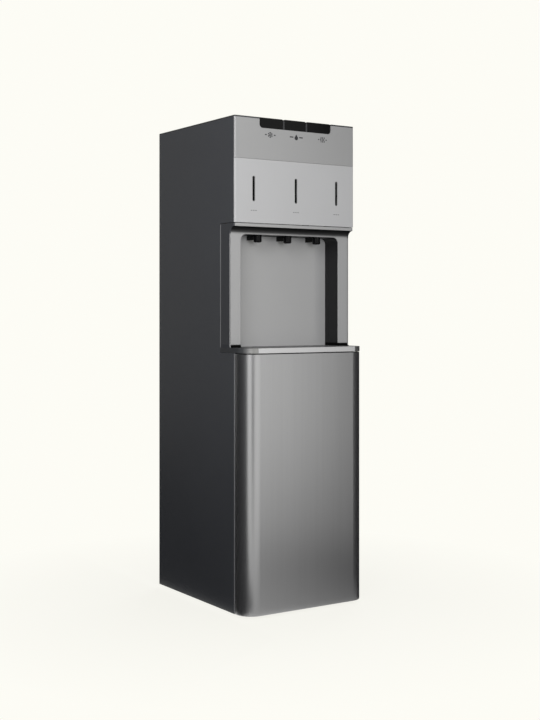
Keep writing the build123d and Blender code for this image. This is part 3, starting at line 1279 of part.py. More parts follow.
def switch_bodies():
    """Three rocker switch bodies that snap into the rear panel."""
    solids = []
    face = REAR_PANEL_Y + SHEET
    for index in range(3):
        z = rocker_z(index)
        bezel_y = (face, face + ROCKER_BEZEL[2])
        bezel = RectangleRounded(ROCKER_BEZEL[0], ROCKER_BEZEL[1], ROCKER_BEZEL_R)
        bezel = through(Pos(FITTINGS_X, z) * bezel, bezel_y)
        body = through(Pos(FITTINGS_X, z) * Rectangle(ROCKER_BODY[0], ROCKER_BODY[1]),
                       (face - ROCKER_BODY[2], face))
        well = block((FITTINGS_X - ROCKER_WIDTH / 2 - GAP, FITTINGS_X + ROCKER_WIDTH / 2 + GAP),
                     (face - ROCKER_WELL, bezel_y[1] + OVER), rocker_span(index, ROCKER_HEIGHT / 2 + GAP))
        solids.append(bezel + body - well)
    return group(solids)


def rocker(index):
    """A rocker cap on its cross pivot, with a shallow V across its face, set to off."""
    z = rocker_z(index)
    pivot_y = REAR_PANEL_Y + SHEET
    half = ROCKER_HEIGHT / 2 - GAP
    face = pivot_y + ROCKER_FACE
    profile = Polyline((pivot_y, z - half), (face, z - half), (face - ROCKER_VEE, z), (face, z + half),
                       (pivot_y, z + half), (pivot_y - ROCKER_ROOT, z), close=True)
    outline = make_face(profile) + Pos(pivot_y, z) * Circle(ROCKER_ROOT)
    cap = across(outline, (FITTINGS_X - ROCKER_WIDTH / 2, FITTINGS_X + ROCKER_WIDTH / 2))
    return cap.rotate(Axis((FITTINGS_X, pivot_y, z), (1, 0, 0)), ROCKER_TILT)


def drain_pipe():
    """Drain from the hot tank's jacket to a threaded spigot on the rear panel."""
    start_y = REAR_PANEL_Y - DRAIN_REACH[0]
    points = [(FITTINGS_X, TANK_Y, TANK_FLOOR_Z - FIT), (FITTINGS_X, TANK_Y, DRAIN_Z),
              (FITTINGS_X, start_y, DRAIN_Z)]
    pipe = tube(points, [DRAIN_BEND], PORT_R)
    spigot = rod(DRAIN_R, FITTINGS_X, (start_y, REAR_PANEL_Y + SHEET + DRAIN_REACH[1]), DRAIN_Z)
    flange = rod(DRAIN_FLANGE[0], FITTINGS_X, (REAR_PANEL_Y - DRAIN_FLANGE[1], REAR_PANEL_Y), DRAIN_Z)
    return pipe + spigot + flange


def drain_cap():
    """Screw cap over the drain spigot, with a grip of shallow flutes."""
    low = REAR_PANEL_Y + SHEET + FIT
    high = low + DRAIN_CAP_DEPTH + DRAIN_CAP_TOP
    cap = rod(DRAIN_CAP_R, FITTINGS_X, (low, high), DRAIN_Z)
    cap = chamfer(cap.edges().group_by(Axis.Y)[-1], DRAIN_CAP_CHAMFER)
    cap -= rod(DRAIN_R + DRAIN_CAP_FIT, FITTINGS_X, (low - OVER, low + DRAIN_CAP_DEPTH), DRAIN_Z)
    axis = Axis((FITTINGS_X, 0, DRAIN_Z), (0, 1, 0))
    flute = rod(FLUTE_R, FITTINGS_X + DRAIN_CAP_R + FLUTE_SHIFT, (low - OVER, high + OVER), DRAIN_Z)
    return cap - [flute.rotate(axis, 360 / FLUTES * turn) for turn in range(FLUTES)]


def cord_gland():
    """Flanged gland where the mains lead enters."""
    face = REAR_PANEL_Y + SHEET
    low = REAR_PANEL_Y - GLAND_DEPTH
    high = face + GLAND_FLANGE[1]
    gland = rod(GLAND_R, FITTINGS_X, (low, face), GLAND_Z)
    gland += rod(GLAND_FLANGE[0], FITTINGS_X, (face, high), GLAND_Z)
    return gland - rod(GLAND_BORE_R, FITTINGS_X, (low - OVER, high + OVER), GLAND_Z)


def control_box():
    """Control electronics in a closed box on the mid shelf."""
    width, depth, height = CONTROL_BOX
    back = REAR_PANEL_Y - 3 * FIT - PLATE
    box = block((CONTROL_BOX_X - width / 2, CONTROL_BOX_X + width / 2), (back - depth, back),
                (SHELF_TOP_Z, SHELF_TOP_Z + height))
    return fillet(box.edges().filter_by(Axis.Z), CONTROL_BOX_R)


# ---------------------------------------------------------------- nodes
NODES = {
    "base_pan": base_pan(),
    "left_side_panel": mirror(right_side_panel(), Plane.YZ),
    "right_side_panel": right_side_panel(),
    "rear_panel": rear_panel(),
    "top_cover": top_cover(),
    "mid_shelf": mid_shelf(),
    "tank_shelf": tank_shelf(),
    "feet": feet(),
    "panel_screws": panel_screws(),
    "compartment_liner": compartment_liner(),
    "bottle_floor": bottle_floor(),
    "probe": probe(),
    "probe_hose": probe_hose(),
    "door_skin": door_skin(),
    "door_liner": door_liner(),
    "door_top_cap": door_top_cap(),
    "door_bottom_cap": door_bottom_cap(),
    "door_magnet": door_magnet(),
    "hinge_brackets": hinge_brackets(),
    "hinge_bushes": hinge_bushes(),
    "niche_housing": niche_housing(),
    "niche_trim": niche_trim(),
    "backsplash": backsplash(),
    "drip_tray": drip_tray(),
    "drip_grille": drip_grille(),
    "cold_spout": spout(-SPOUT_PITCH),
    "warm_spout": spout(0.0),
    "hot_spout": spout(SPOUT_PITCH),
    "solenoid_valves": solenoid_valves(),
    "indicator_panel": indicator_panel(),
    "indicator_windows": indicator_windows(),
    "indicator_board": indicator_board(),
    "control_fascia": control_fascia(),
    "key_housing": key_housing(),
    "key_switches": key_switches(),
    "cold_key": key(0),
    "warm_key": key(1),
    "hot_key": key(2),
    "cold_tank": cold_tank(),
    "cold_tank_jacket": cold_tank_jacket(),
    "hot_tank": hot_tank(),
    "hot_tank_jacket": hot_tank_jacket(),
    "water_pump": water_pump(),
    "feed_hose": feed_hose(),
    "link_hose": link_hose(),
    "dispense_hoses": dispense_hoses(),
    "compressor": compressor(),
    "compressor_grommets": compressor_grommets(),
    "condenser": condenser(),
    "suction_tube": suction_tube(),
    "discharge_tube": discharge_tube(),
    "filter_dryer": filter_dryer(),
    "switch_bodies": switch_bodies(),
    "hot_switch_rocker": rocker(0),
    "cold_switch_rocker": rocker(1),
    "light_switch_rocker": rocker(2),
    "drain_pipe": drain_pipe(),
    "drain_cap": drain_cap(),
    "cord_gland": cord_gland(),
    "control_box": control_box(),
}

os.makedirs("parts", exist_ok=True)
for name, shape in NODES.items():
    export_step(shape, f"parts/{name}.step")
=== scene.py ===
"""Looks of the bottom load water cooler: materials, printed marks, studio and camera."""
import json
import math

import bmesh
import bpy
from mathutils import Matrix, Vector
from mathutils.bvhtree import BVHTree

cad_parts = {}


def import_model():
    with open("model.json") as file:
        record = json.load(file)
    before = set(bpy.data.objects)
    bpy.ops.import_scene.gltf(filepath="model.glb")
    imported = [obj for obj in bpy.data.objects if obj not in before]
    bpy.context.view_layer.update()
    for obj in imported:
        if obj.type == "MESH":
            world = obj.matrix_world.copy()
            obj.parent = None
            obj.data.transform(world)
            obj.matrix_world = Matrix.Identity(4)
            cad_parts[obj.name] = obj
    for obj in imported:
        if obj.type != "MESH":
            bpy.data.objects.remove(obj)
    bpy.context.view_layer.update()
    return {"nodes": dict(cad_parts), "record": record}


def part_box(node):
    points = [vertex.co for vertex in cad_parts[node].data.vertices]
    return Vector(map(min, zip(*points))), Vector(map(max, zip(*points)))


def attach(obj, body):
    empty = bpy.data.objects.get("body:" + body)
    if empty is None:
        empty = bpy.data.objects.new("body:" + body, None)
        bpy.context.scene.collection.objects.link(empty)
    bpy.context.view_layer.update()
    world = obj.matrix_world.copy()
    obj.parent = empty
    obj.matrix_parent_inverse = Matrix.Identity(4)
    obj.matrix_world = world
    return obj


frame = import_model()
NODES = frame["nodes"]
SCENE = bpy.context.scene

PALE = (0.982, 0.974, 0.916)         # the photograph's background, linear
AMBIENT = 0.22                       # what the world adds to the lamps
NOISE_RANGE = (0.3, 0.7)             # where most of a noise pattern's values lie
SOFT_EDGE = 0.0006                   # radius that the shaders give to sharp edges
LIFT = 0.00006                       # how far a printed mark stands off its face
EVEN = (1, 1, 1)                     # a pattern that is not stretched

# Where one moulding or panel changes its finish: spans in object space, in metres.
SWEEP_Z = (0.8003, 0.8153)           # the trim's concave sweep
CHIN_Z = (0.8153, 0.8156)            # the chin's front face starts here
FOLD_HIGHLIGHT_Y = (-0.1412, -0.1416)          # the side panels' folded front edge, where a highlight line is painted
DOOR_TOP_Z = (0.549, 0.547)
SKIRT_FACE_X = (0.1528, 0.1530)
# the skirts' rear edge, where a highlight line is painted
SKIRT_HIGHLIGHT_Y = (-0.0886, -0.0880)
SKIRT_FRONT_Z = (0.801, 0.799)       # the skirts' fronts are silver below this and charcoal above, partly their side colour and partly painted shade beside the trim's sweep
LEDGE_TOP_Z = (0.5602, 0.5604)
FOOT_TOP_Z = (0.5668, 0.5672)        # top of the black foot strip
# the ledge's silver front; behind it the ledge's sides are painted charcoal as painted shade
LEDGE_FRONT_Y = (-0.184, -0.170)

# Grain in cycles a metre, relief in metres and share of slow change of tone.
SILVER_COAT = {"grain": 2500.0, "relief": 0.00001, "tone": 0.03}
INK_COAT = {"grain": 3000.0, "relief": 0.000004}


# ---------------------------------------------------------------- node helpers
def new_material(name):
    """An empty node material with its output and a Principled shader."""
    material = bpy.data.materials.new(name)
    material.use_nodes = True
    tree = material.node_tree
    shader = tree.nodes["Principled BSDF"]
    return material, tree, shader


def add(tree, kind, **settings):
    """A node of a kind, with its properties set."""
    node = tree.nodes.new(kind)
    for key, value in settings.items():
        setattr(node, key, value)
    return node


def place(tree):
    """Object-space coordinates, which are metres in the row frame."""
    return add(tree, "ShaderNodeTexCoord").outputs["Object"]


def scaled(tree, factors):
    """Coordinates stretched along each axis."""
    mapping = add(tree, "ShaderNodeMapping")
    mapping.inputs["Scale"].default_value = factors
    tree.links.new(place(tree), mapping.inputs["Vector"])
    return mapping.outputs["Vector"]


def noise(tree, factors, scale=1.0, detail=2.0, rough=0.5):
    """A noise pattern; factors stretch it, scale is in cycles a metre."""
    node = add(tree, "ShaderNodeTexNoise")
    node.inputs["Scale"].default_value = scale
    node.inputs["Detail"].default_value = detail
    node.inputs["Roughness"].default_value = rough
    tree.links.new(scaled(tree, factors), node.inputs["Vector"])
    return node.outputs["Fac"]


def spread(tree, value, low, high, start=NOISE_RANGE[0], end=NOISE_RANGE[1]):
    """A pattern's value mapped to a range."""
    node = add(tree, "ShaderNodeMapRange")
    node.inputs["From Min"].default_value = start
    node.inputs["From Max"].default_value = end
    node.inputs["To Min"].default_value = low
    node.inputs["To Max"].default_value = high
    tree.links.new(value, node.inputs["Value"])
    return node.outputs["Result"]


def joined(tree, operation, first, second):
    """Two values through one Math node."""
    node = add(tree, "ShaderNodeMath", operation=operation)
    tree.links.new(first, node.inputs[0])
    tree.links.new(second, node.inputs[1])
    return node.outputs[0]


def times(tree, first, second):
    """The product of two values."""
    return joined(tree, "MULTIPLY", first, second)


def feed(tree, colour, socket):
    """A colour, written down or from another socket, into a socket."""
    if isinstance(colour, tuple):
        socket.default_value = (*colour, 1.0)
    else:
        tree.links.new(colour, socket)


def shaded(tree, colour, factor):
    """A colour whose brightness follows a pattern."""
    node = add(tree, "ShaderNodeHueSaturation")
    feed(tree, colour, node.inputs["Color"])
    tree.links.new(factor, node.inputs["Value"])
    return node.outputs["Color"]


def tinted(tree, first, second, factor):
    """A mix of two colours."""
    node = add(tree, "ShaderNodeMix", data_type="RGBA")
    ends = [socket for socket in node.inputs if socket.type == "RGBA"]
    feed(tree, first, ends[0])
    feed(tree, second, ends[1])
    tree.links.new(factor, node.inputs[0])
    return next(socket for socket in node.outputs if socket.type == "RGBA")


def mottled(tree, amount, slow, fine):
    """Slow and fine change of tone, as a factor of a colour."""
    return times(tree, spread(tree, slow, 1 - amount, 1 + amount), spread(tree, fine, 0.97, 1.03))


def from_centre(tree):
    """Distance from the object's origin."""
    node = add(tree, "ShaderNodeVectorMath", operation="LENGTH")
    tree.links.new(place(tree), node.inputs[0])
    return node.outputs["Value"]


def bump(tree, shader, height, strength, distance, soft=SOFT_EDGE):
    """Relief from a pattern, in metres, over softly rounded edges."""
    edge = add(tree, "ShaderNodeBevel", samples=4)
    edge.inputs["Radius"].default_value = soft
    node = add(tree, "ShaderNodeBump")
    node.inputs["Strength"].default_value = strength
    node.inputs["Distance"].default_value = distance
    tree.links.new(height, node.inputs["Height"])
    tree.links.new(edge.outputs["Normal"], node.inputs["Normal"])
    tree.links.new(node.outputs["Normal"], shader.inputs["Normal"])


def axis_value(tree, axis, start, end, magnitude=False):
    """0 to 1 across a span of one object-space coordinate, or of its magnitude."""
    split = add(tree, "ShaderNodeSeparateXYZ")
    tree.links.new(place(tree), split.inputs[0])
    value = split.outputs[axis]
    if magnitude:
        size = add(tree, "ShaderNodeMath", operation="ABSOLUTE")
        tree.links.new(value, size.inputs[0])
        value = size.outputs[0]
    return spread(tree, value, 0.0, 1.0, start, end)


# ---------------------------------------------------------------- materials
def coated(name, colour, rough, metallic=0.0, grain=900.0, relief=0.00004, tone=0.05,
           specular=0.5, shade=None, soft=SOFT_EDGE):
    """Painted or moulded surface: fine grain, slow change of tone, uneven gloss, perhaps shade."""
    material, tree, shader = new_material(name)
    slow = noise(tree, EVEN, 4.0, 3.0)
    fine = noise(tree, EVEN, grain, 2.0)
    value = mottled(tree, tone, slow, fine)
    shader.inputs["Specular IOR Level"].default_value = specular
    if shade:
        factor = shade(tree)
        value = times(tree, value, factor)
        dulled = spread(tree, factor, 0.0, specular, 0.0, 1.0)
        tree.links.new(dulled, shader.inputs["Specular IOR Level"])
    tree.links.new(shaded(tree, colour, value), shader.inputs["Base Color"])
    tree.links.new(spread(tree, slow, rough - 0.03, rough + 0.03), shader.inputs["Roughness"])
    shader.inputs["Metallic"].default_value = metallic
    bump(tree, shader, fine, 0.5, relief, soft)
    return material


def brushed(name, colour, rough, along="z", metallic=1.0, relief=0.00001, contrast=1.0):
    """Stainless with its brush lines along one axis."""
    material, tree, shader = new_material(name)
    lines = noise(tree, [6 if axis == along else 900 for axis in "xyz"], 1.0, 3.0, 0.7)
    bands = noise(tree, [1.5 if axis == along else 120 for axis in "xyz"], 1.0, 2.0)
    fine, broad = 0.05 * contrast, 0.03 * contrast
    value = times(tree, spread(tree, lines, 1 - fine, 1 + fine),
                  spread(tree, bands, 1 - broad, 1 + broad))
    tree.links.new(shaded(tree, colour, value), shader.inputs["Base Color"])
    tree.links.new(spread(tree, lines, rough - fine, rough + fine), shader.inputs["Roughness"])
    shader.inputs["Metallic"].default_value = metallic
    bump(tree, shader, lines, 0.4, relief)
    return material


def glossy(name, colour, rough=0.12, tone=0.04, specular=0.25):
    """Polished plastic with faint moulding waves and fine dust in its gloss."""
    material, tree, shader = new_material(name)
    shader.inputs["Specular IOR Level"].default_value = specular
    wave = noise(tree, EVEN, 60.0, 2.0)
    dust = noise(tree, EVEN, 1500.0, 2.0)
    value = spread(tree, wave, 1 - tone, 1 + tone)
    tree.links.new(shaded(tree, colour, value), shader.inputs["Base Color"])
    tree.links.new(spread(tree, dust, rough, rough + 0.1), shader.inputs["Roughness"])
    bump(tree, shader, wave, 0.3, 0.00002)
    return material


def sweep_shade(tree):
    """The trim's concave sweep falls into shadow towards the chin."""
    ramp = add(tree, "ShaderNodeValToRGB")
    stops = ((0.15, 0.69), (0.31, 0.2), (0.48, 0.12), (0.65, 0.065), (0.82, 0.05))
    keys = ramp.color_ramp.elements
    keys[0].position, keys[0].color = 0.0, (1.0, 1.0, 1.0, 1.0)
    keys[1].position, keys[1].color = 1.0, (0.0, 0.0, 0.0, 1.0)
    for spot, level in stops:
        keys.new(spot).color = (level, level, level, 1.0)
    tree.links.new(axis_value(tree, "Z", *SWEEP_Z), ramp.inputs["Fac"])
    return joined(tree, "MAXIMUM", ramp.outputs["Color"], axis_value(tree, "Z", *CHIN_Z))


def facing_front(tree):
    """1 on faces that look forward, else 0."""
    split = add(tree, "ShaderNodeSeparateXYZ")
    tree.links.new(add(tree, "ShaderNodeTexCoord").outputs["Normal"], split.inputs[0])
    return spread(tree, split.outputs["Y"], 1.0, 0.0, -0.8, -0.5)


def side_panel(name):
    """Charcoal powder coat with a painted highlight line along its folded front edge, beside the
    door.
    """
    material, tree, shader = new_material(name)
    slow = noise(tree, EVEN, 4.0, 3.0)
    fine = noise(tree, EVEN, 700.0, 2.0)
    # Painted highlight: a light band on the folded front edge, below the door's top.
    edge = times(tree, axis_value(tree, "Y", *FOLD_HIGHLIGHT_Y), axis_value(tree, "Z", *DOOR_TOP_Z))
    colour = tinted(tree, (0.083, 0.0875, 0.1), (0.30, 0.305, 0.315), edge)
    value = mottled(tree, 0.05, slow, fine)
    tree.links.new(shaded(tree, colour, value), shader.inputs["Base Color"])
    tree.links.new(spread(tree, slow, 0.45, 0.51), shader.inputs["Roughness"])
    bump(tree, shader, fine, 0.5, 0.00006)
    return material


def housing(name):
    """One moulding coloured in three zones: black niche walls, charcoal skirts with a painted
    highlight line along their rear edge, and a silver ledge front whose sides are painted charcoal
    as painted shade.
    """
    material, tree, shader = new_material(name)
    slow = noise(tree, EVEN, 4.0, 3.0)
    fine = noise(tree, EVEN, 1200.0, 2.0)
    above = axis_value(tree, "Z", *LEDGE_TOP_Z)
    over_foot = axis_value(tree, "Z", *FOOT_TOP_Z)

    # Painted highlight: a light line along the skirts' rear edge.
    rear_highlight = axis_value(tree, "Y", *SKIRT_HIGHLIGHT_Y)
    charcoal = tinted(tree, (0.08, 0.083, 0.093), (0.42, 0.42, 0.43), rear_highlight)
    silver_front = times(tree, facing_front(tree), axis_value(tree, "Z", *SKIRT_FRONT_Z))
    skirt = tinted(tree, charcoal, (0.38, 0.38, 0.382), silver_front)
    inside = tinted(tree, (0.0025, 0.0025, 0.0025), (0.012, 0.012, 0.013), over_foot)
    outside = axis_value(tree, "X", *SKIRT_FACE_X, magnitude=True)
    upper = tinted(tree, inside, skirt, outside)
    # Painted shade: the ledge's sides turn charcoal behind its silver front.
    ledge_shade_side = axis_value(tree, "Y", *LEDGE_FRONT_Y)
    ledge = tinted(tree, (0.40, 0.40, 0.402), (0.085, 0.088, 0.093), ledge_shade_side)
    colour = tinted(tree, ledge, upper, above)

    value = mottled(tree, 0.04, slow, fine)
    tree.links.new(shaded(tree, colour, value), shader.inputs["Base Color"])
    tree.links.new(spread(tree, slow, 0.40, 0.46), shader.inputs["Roughness"])
    metal = times(tree, spread(tree, above, 0.8, 0.0, 0.0, 1.0),
                  axis_value(tree, "Y", *reversed(LEDGE_FRONT_Y)))
    tree.links.new(metal, shader.inputs["Metallic"])
    gloss = spread(tree, over_foot, 0.03, 0.2, 0.0, 1.0)
    tree.links.new(gloss, shader.inputs["Specular IOR Level"])
    bump(tree, shader, fine, 0.5, 0.00004)
    return material


MATERIALS = {
    "side_paint": side_panel("side_paint"),
    "top_plastic": coated("top_plastic", (0.05, 0.051, 0.057), 0.5),
    "panel_silver": coated("panel_silver", (0.44, 0.44, 0.445), 0.42, 0.3, **SILVER_COAT),
    "panel_light": coated("panel_light", (0.56, 0.56, 0.567), 0.42, 0.1, **SILVER_COAT),
    "door_steel": brushed("door_steel", (0.515, 0.518, 0.545), 0.32, "z", metallic=0.92,
                          relief=0.000004, contrast=0.4),
    "niche_dark": coated("niche_dark", (0.026, 0.026, 0.028), 0.42, grain=1200.0, specular=0.25),
    "gloss_black": glossy("gloss_black", (0.006, 0.006, 0.0065), specular=0.12),
    "tray_silver": coated("tray_silver", (0.72, 0.72, 0.73), 0.36, 0.4, **SILVER_COAT),
    "grille_steel": brushed("grille_steel", (0.20, 0.20, 0.205), 0.36, "x", metallic=0.7),
    "liner_plastic": coated("liner_plastic", (0.50, 0.51, 0.52), 0.45, grain=500.0),
    "galvanised": coated("galvanised", (0.5, 0.51, 0.52), 0.4, 0.9, grain=80.0, relief=0.00002,
                         tone=0.12),
    "rear_paint": coated("rear_paint", (0.05, 0.05, 0.054), 0.5),
    "black_paint": coated("black_paint", (0.015, 0.015, 0.016), 0.35),
    "stainless": brushed("stainless", (0.6, 0.6, 0.6), 0.25),
    "copper": brushed("copper", (0.72, 0.38, 0.24), 0.3),
    "foam": coated("foam", (0.72, 0.66, 0.48), 0.9, grain=300.0, relief=0.0008, tone=0.08),
    "hose": coated("hose", (0.70, 0.72, 0.73), 0.3),
    "rubber_black": coated("rubber_black", (0.02, 0.02, 0.02), 0.7),
    "white_plastic": coated("white_plastic", (0.78, 0.78, 0.75), 0.4),
    "board_green": coated("board_green", (0.03, 0.16, 0.07), 0.35),
    "screw_zinc": brushed("screw_zinc", (0.6, 0.6, 0.58), 0.3, "y"),
    "rocker_red": glossy("rocker_red", (0.42, 0.02, 0.02)),
    "rocker_green": glossy("rocker_green", (0.02, 0.24, 0.07)),
    "rocker_black": glossy("rocker_black", (0.012, 0.012, 0.012)),
}


def paint_nodes():
    """Each CAD node gets the material of its slot in the record, or one of its own."""
    for part in frame["record"]["subparts"]:
        mesh = NODES[part["node"]].data
        mesh.materials.clear()
        mesh.materials.append(MATERIALS[part["material_slot"]])
    own = {"niche_housing": housing("housing"),
           "niche_trim": coated("trim_silver", (0.47, 0.47, 0.475), 0.42, 0.3, shade=sweep_shade,
                                soft=0.0022, **SILVER_COAT),
           "backsplash": coated("back_silver", (0.49, 0.49, 0.495), 0.42, 0.3, **SILVER_COAT),
           "key_housing": coated("key_frame", (0.055, 0.055, 0.058), 0.5, specular=0.3),
           "indicator_windows": coated("window_black", (0.002, 0.002, 0.002), 0.5,
                                       specular=0.03)}
    for node, material in own.items():
        NODES[node].data.materials[0] = material


# ---------------------------------------------------------------- printed marks
def strip(points, width):
    """Outline of a ribbon along (x, z) points."""
    left, right = [], []
    for index, point in enumerate(points):
        before = Vector(points[max(index - 1, 0)])
        after = Vector(points[min(index + 1, len(points) - 1)])
        along = (after - before).normalized()
        out = Vector((-along.y, along.x)) * width / 2
        left.append(Vector(point) + out)
        right.append(Vector(point) - out)
    return left + right[::-1]


def arc(x, z, radius, start, end, steps=12):
    """Points along an arc, angles in degrees from +x."""
    angles = [math.radians(start + (end - start) * index / steps) for index in range(steps + 1)]
    return [Vector((x + radius * math.cos(turn), z + radius * math.sin(turn))) for turn in angles]


def slot_shape(x, z, length, width):
    """Outline of an upright slot with round ends."""
    reach = (length - width) / 2
    return arc(x, z + reach, width / 2, 0, 180) + arc(x, z - reach, width / 2, 180, 360)


def between(outer, inner):
    """Four-sided outlines that fill the space between two closed outlines."""
    count = len(outer)
    return [[outer[i], outer[(i + 1) % count], inner[(i + 1) % count], inner[i]]
            for i in range(count)]


def snowflake(x, z, size, width):
    """Six arms with two barbs each."""
    shapes = []
    centre = Vector((x, z))
    for index in range(6):
        turn = math.radians(60 * index + 30)
        arm = Vector((math.cos(turn), math.sin(turn)))
        shapes.append(strip([centre + arm * width * 0.6, centre + arm * size], width))
        for side in (-45, 45):
            lean = turn + math.radians(side)
            root = centre + arm * size * 0.55
            barb = Vector((math.cos(lean), math.sin(lean)))
            ends = [root + barb * width * 0.5, root + barb * size * 0.42]
            shapes.append(strip(ends, width * 0.8))
    return shapes


def drop(x, z, size):
    """A falling drop: a round foot that runs up to a point."""
    radius = size * 0.36
    foot = arc(x, z - size / 2 + radius, radius, 150, 390, 24)
    return [foot + [Vector((x, z + size / 2))]]


def steam(x, z, size, width):
    """Three rising waves."""
    shapes = []
    for index in (-1, 0, 1):
        wave = [(x + index * size * 0.36 + size * 0.08 * math.sin(step * math.pi / 4),
                 z - size / 2 + size * step / 12) for step in range(13)]
        shapes.append(strip(wave, width))
    return shapes


def bars(x, z, inner, outer, width):
    """Two level bars, left and right of a mark."""
    return [strip([(x + side * inner, z), (x + side * outer, z)], width) for side in (-1, 1)]


def printed(name, body, node, shapes, ink, side=-1):
    """Flat marks laid on a node's front face, or on its rear face where side is 1."""
    mesh = NODES[node].data
    surface = BVHTree.FromPolygons([v.co for v in mesh.vertices],
                                   [f.vertices for f in mesh.polygons])
    sheet = bmesh.new()
    for shape in shapes:
        points = []
        for x, z in shape:
            hit = surface.ray_cast(Vector((x, side, z)), Vector((0, -side, 0)))[0]
            points.append(sheet.verts.new((x, hit.y + side * LIFT, z)))
        face = sheet.faces.new(points)
        face.normal_update()
        if face.normal.y * side < 0:
            face.normal_flip()
    made = bpy.data.meshes.new(name)
    sheet.to_mesh(made)
    sheet.free()
    made.materials.append(ink)
    obj = bpy.data.objects.new(name, made)
    SCENE.collection.objects.link(obj)
    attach(obj, body)


def islands(node):
    """Centre of each loose solid of a node, from its welded vertices."""
    mesh = bmesh.new()
    mesh.from_mesh(NODES[node].data)
    bmesh.ops.remove_doubles(mesh, verts=mesh.verts, dist=0.000001)
    left = set(mesh.verts)
    centres = []
    while left:
        group, edge = set(), [left.pop()]
        while edge:
            vert = edge.pop()
            group.add(vert)
            near = {e.other_vert(vert) for e in vert.link_edges} & left
            left -= near
            edge.extend(near)
        spans = [[v.co[axis] for v in group] for axis in range(3)]
        centres.append([(min(span) + max(span)) / 2 for span in spans])
    mesh.free()
    return centres


def key_marks(ink):
    """Pictograms where the photographed cooler names its keys: cold, warm and hot."""
    z, thick = 1.0115, 0.0024
    shapes = snowflake(-0.066, z, 0.0064, 0.0015) + bars(-0.066, z, 0.0090, 0.0135, thick)
    shapes += drop(0.001, z, 0.0125) + bars(0.001, z, 0.0075, 0.0170, thick)
    shapes += steam(0.070, z, 0.0115, 0.0019) + bars(0.070, z, 0.0085, 0.0115, thick)
    printed("key_pictograms", "cabinet", "control_fascia", shapes, ink)


def window_marks(shade_ink, dash_ink):
    """A black rim round each indicator window, painted shade that widens the dark of its recess,
    and three dashes below it.
    """
    shade_rims, dashes = [], []
    half, width, below = 0.0019, 0.0019, 0.046
    for x, _, z in islands("indicator_windows"):
        shade_rims += between(slot_shape(x, z, 0.0536, 0.0064), slot_shape(x, z, 0.0524, 0.0052))
        for step in (-0.0056, 0.0, 0.0056):
            ends = [(x + step - half, z - below), (x + step + half, z - below)]
            dashes.append(strip(ends, width))
    printed("slot_shade_rims", "cabinet", "indicator_panel", shade_rims, shade_ink)
    printed("slot_dashes", "cabinet", "indicator_panel", dashes, dash_ink)


def screw_marks(ink):
    """A black cross on each screw at the back, painted shade that stands for its cross recess."""
    width, reach = 0.0009, 0.0021
    shapes = []
    for x, _, z in islands("panel_screws"):
        shapes.append(strip([(x - reach, z), (x + reach, z)], width))
        for side in (-1, 1):
            shapes.append(strip([(x, z + side * width / 2), (x, z + side * reach)], width))
    printed("screw_recess_shade", "cabinet", "panel_screws", shapes, ink, 1)


def rocker_marks(ink):
    """A ring for off and a line for on, on each rocker at the back."""
    for use in ("hot", "cold", "light"):
        node = use + "_switch_rocker"
        low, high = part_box(node)
        x, z = (low[0] + high[0]) / 2, (low[2] + high[2]) / 2
        outer, inner = (arc(x, z - 0.0032, radius, 0, 360, 24)[:-1] for radius in (0.0016, 0.0010))
        line = [strip([(x, z + 0.0017), (x, z + 0.0048)], 0.0007)]
        printed(use + "_rocker_marks", use + "_rocker_body", node, between(outer, inner) + line,
                ink, 1)


def marks():
    """Plain marks where the photographed cooler has words, painted shade as black rims round the
    indicator windows and black crosses in the screw recesses, and the small marks on the rockers
    at its back.
    """
    dark = coated("ink_dark", (0.045, 0.045, 0.048), 0.6, specular=0.2, **INK_COAT)
    light = coated("ink_light", (0.27, 0.27, 0.275), 0.6, specular=0.2, **INK_COAT)
    # Painted shade: black for the rims round the indicator windows and the crosses in the screw
    # recesses.
    black = coated("painted_shade_black", (0.003, 0.003, 0.003), 0.6, specular=0.05, **INK_COAT)
    white = coated("ink_white", (0.75, 0.75, 0.73), 0.5, specular=0.3, **INK_COAT)
    key_marks(dark)
    window_marks(black, light)
    screw_marks(black)
    rocker_marks(white)


# ---------------------------------------------------------------- studio
def seen(tree):
    """1 for camera, glossy and transmission rays, else 0."""
    rays = add(tree, "ShaderNodeLightPath").outputs
    mirrored = joined(tree, "MAXIMUM", rays["Is Camera Ray"], rays["Is Glossy Ray"])
    return joined(tree, "MAXIMUM", mirrored, rays["Is Transmission Ray"])


def mixed(tree, first, second, factor):
    """A mix of two shaders."""
    node = add(tree, "ShaderNodeMixShader")
    tree.links.new(factor, node.inputs[0])
    tree.links.new(first, node.inputs[1])
    tree.links.new(second, node.inputs[2])
    return node.outputs[0]


def world():
    """Pale where it is seen, dim where it only lights."""
    made = bpy.data.worlds.new("studio")
    SCENE.world = made
    made.use_nodes = True
    tree = made.node_tree
    pale = tree.nodes["Background"]
    pale.inputs["Color"].default_value = (*PALE, 1.0)
    dim = add(tree, "ShaderNodeBackground")
    dim.inputs["Color"].default_value = (0.95, 0.97, 1.0, 1.0)
    dim.inputs["Strength"].default_value = AMBIENT
    light = mixed(tree, dim.outputs[0], pale.outputs[0], seen(tree))
    tree.links.new(light, tree.nodes["World Output"].inputs["Surface"])


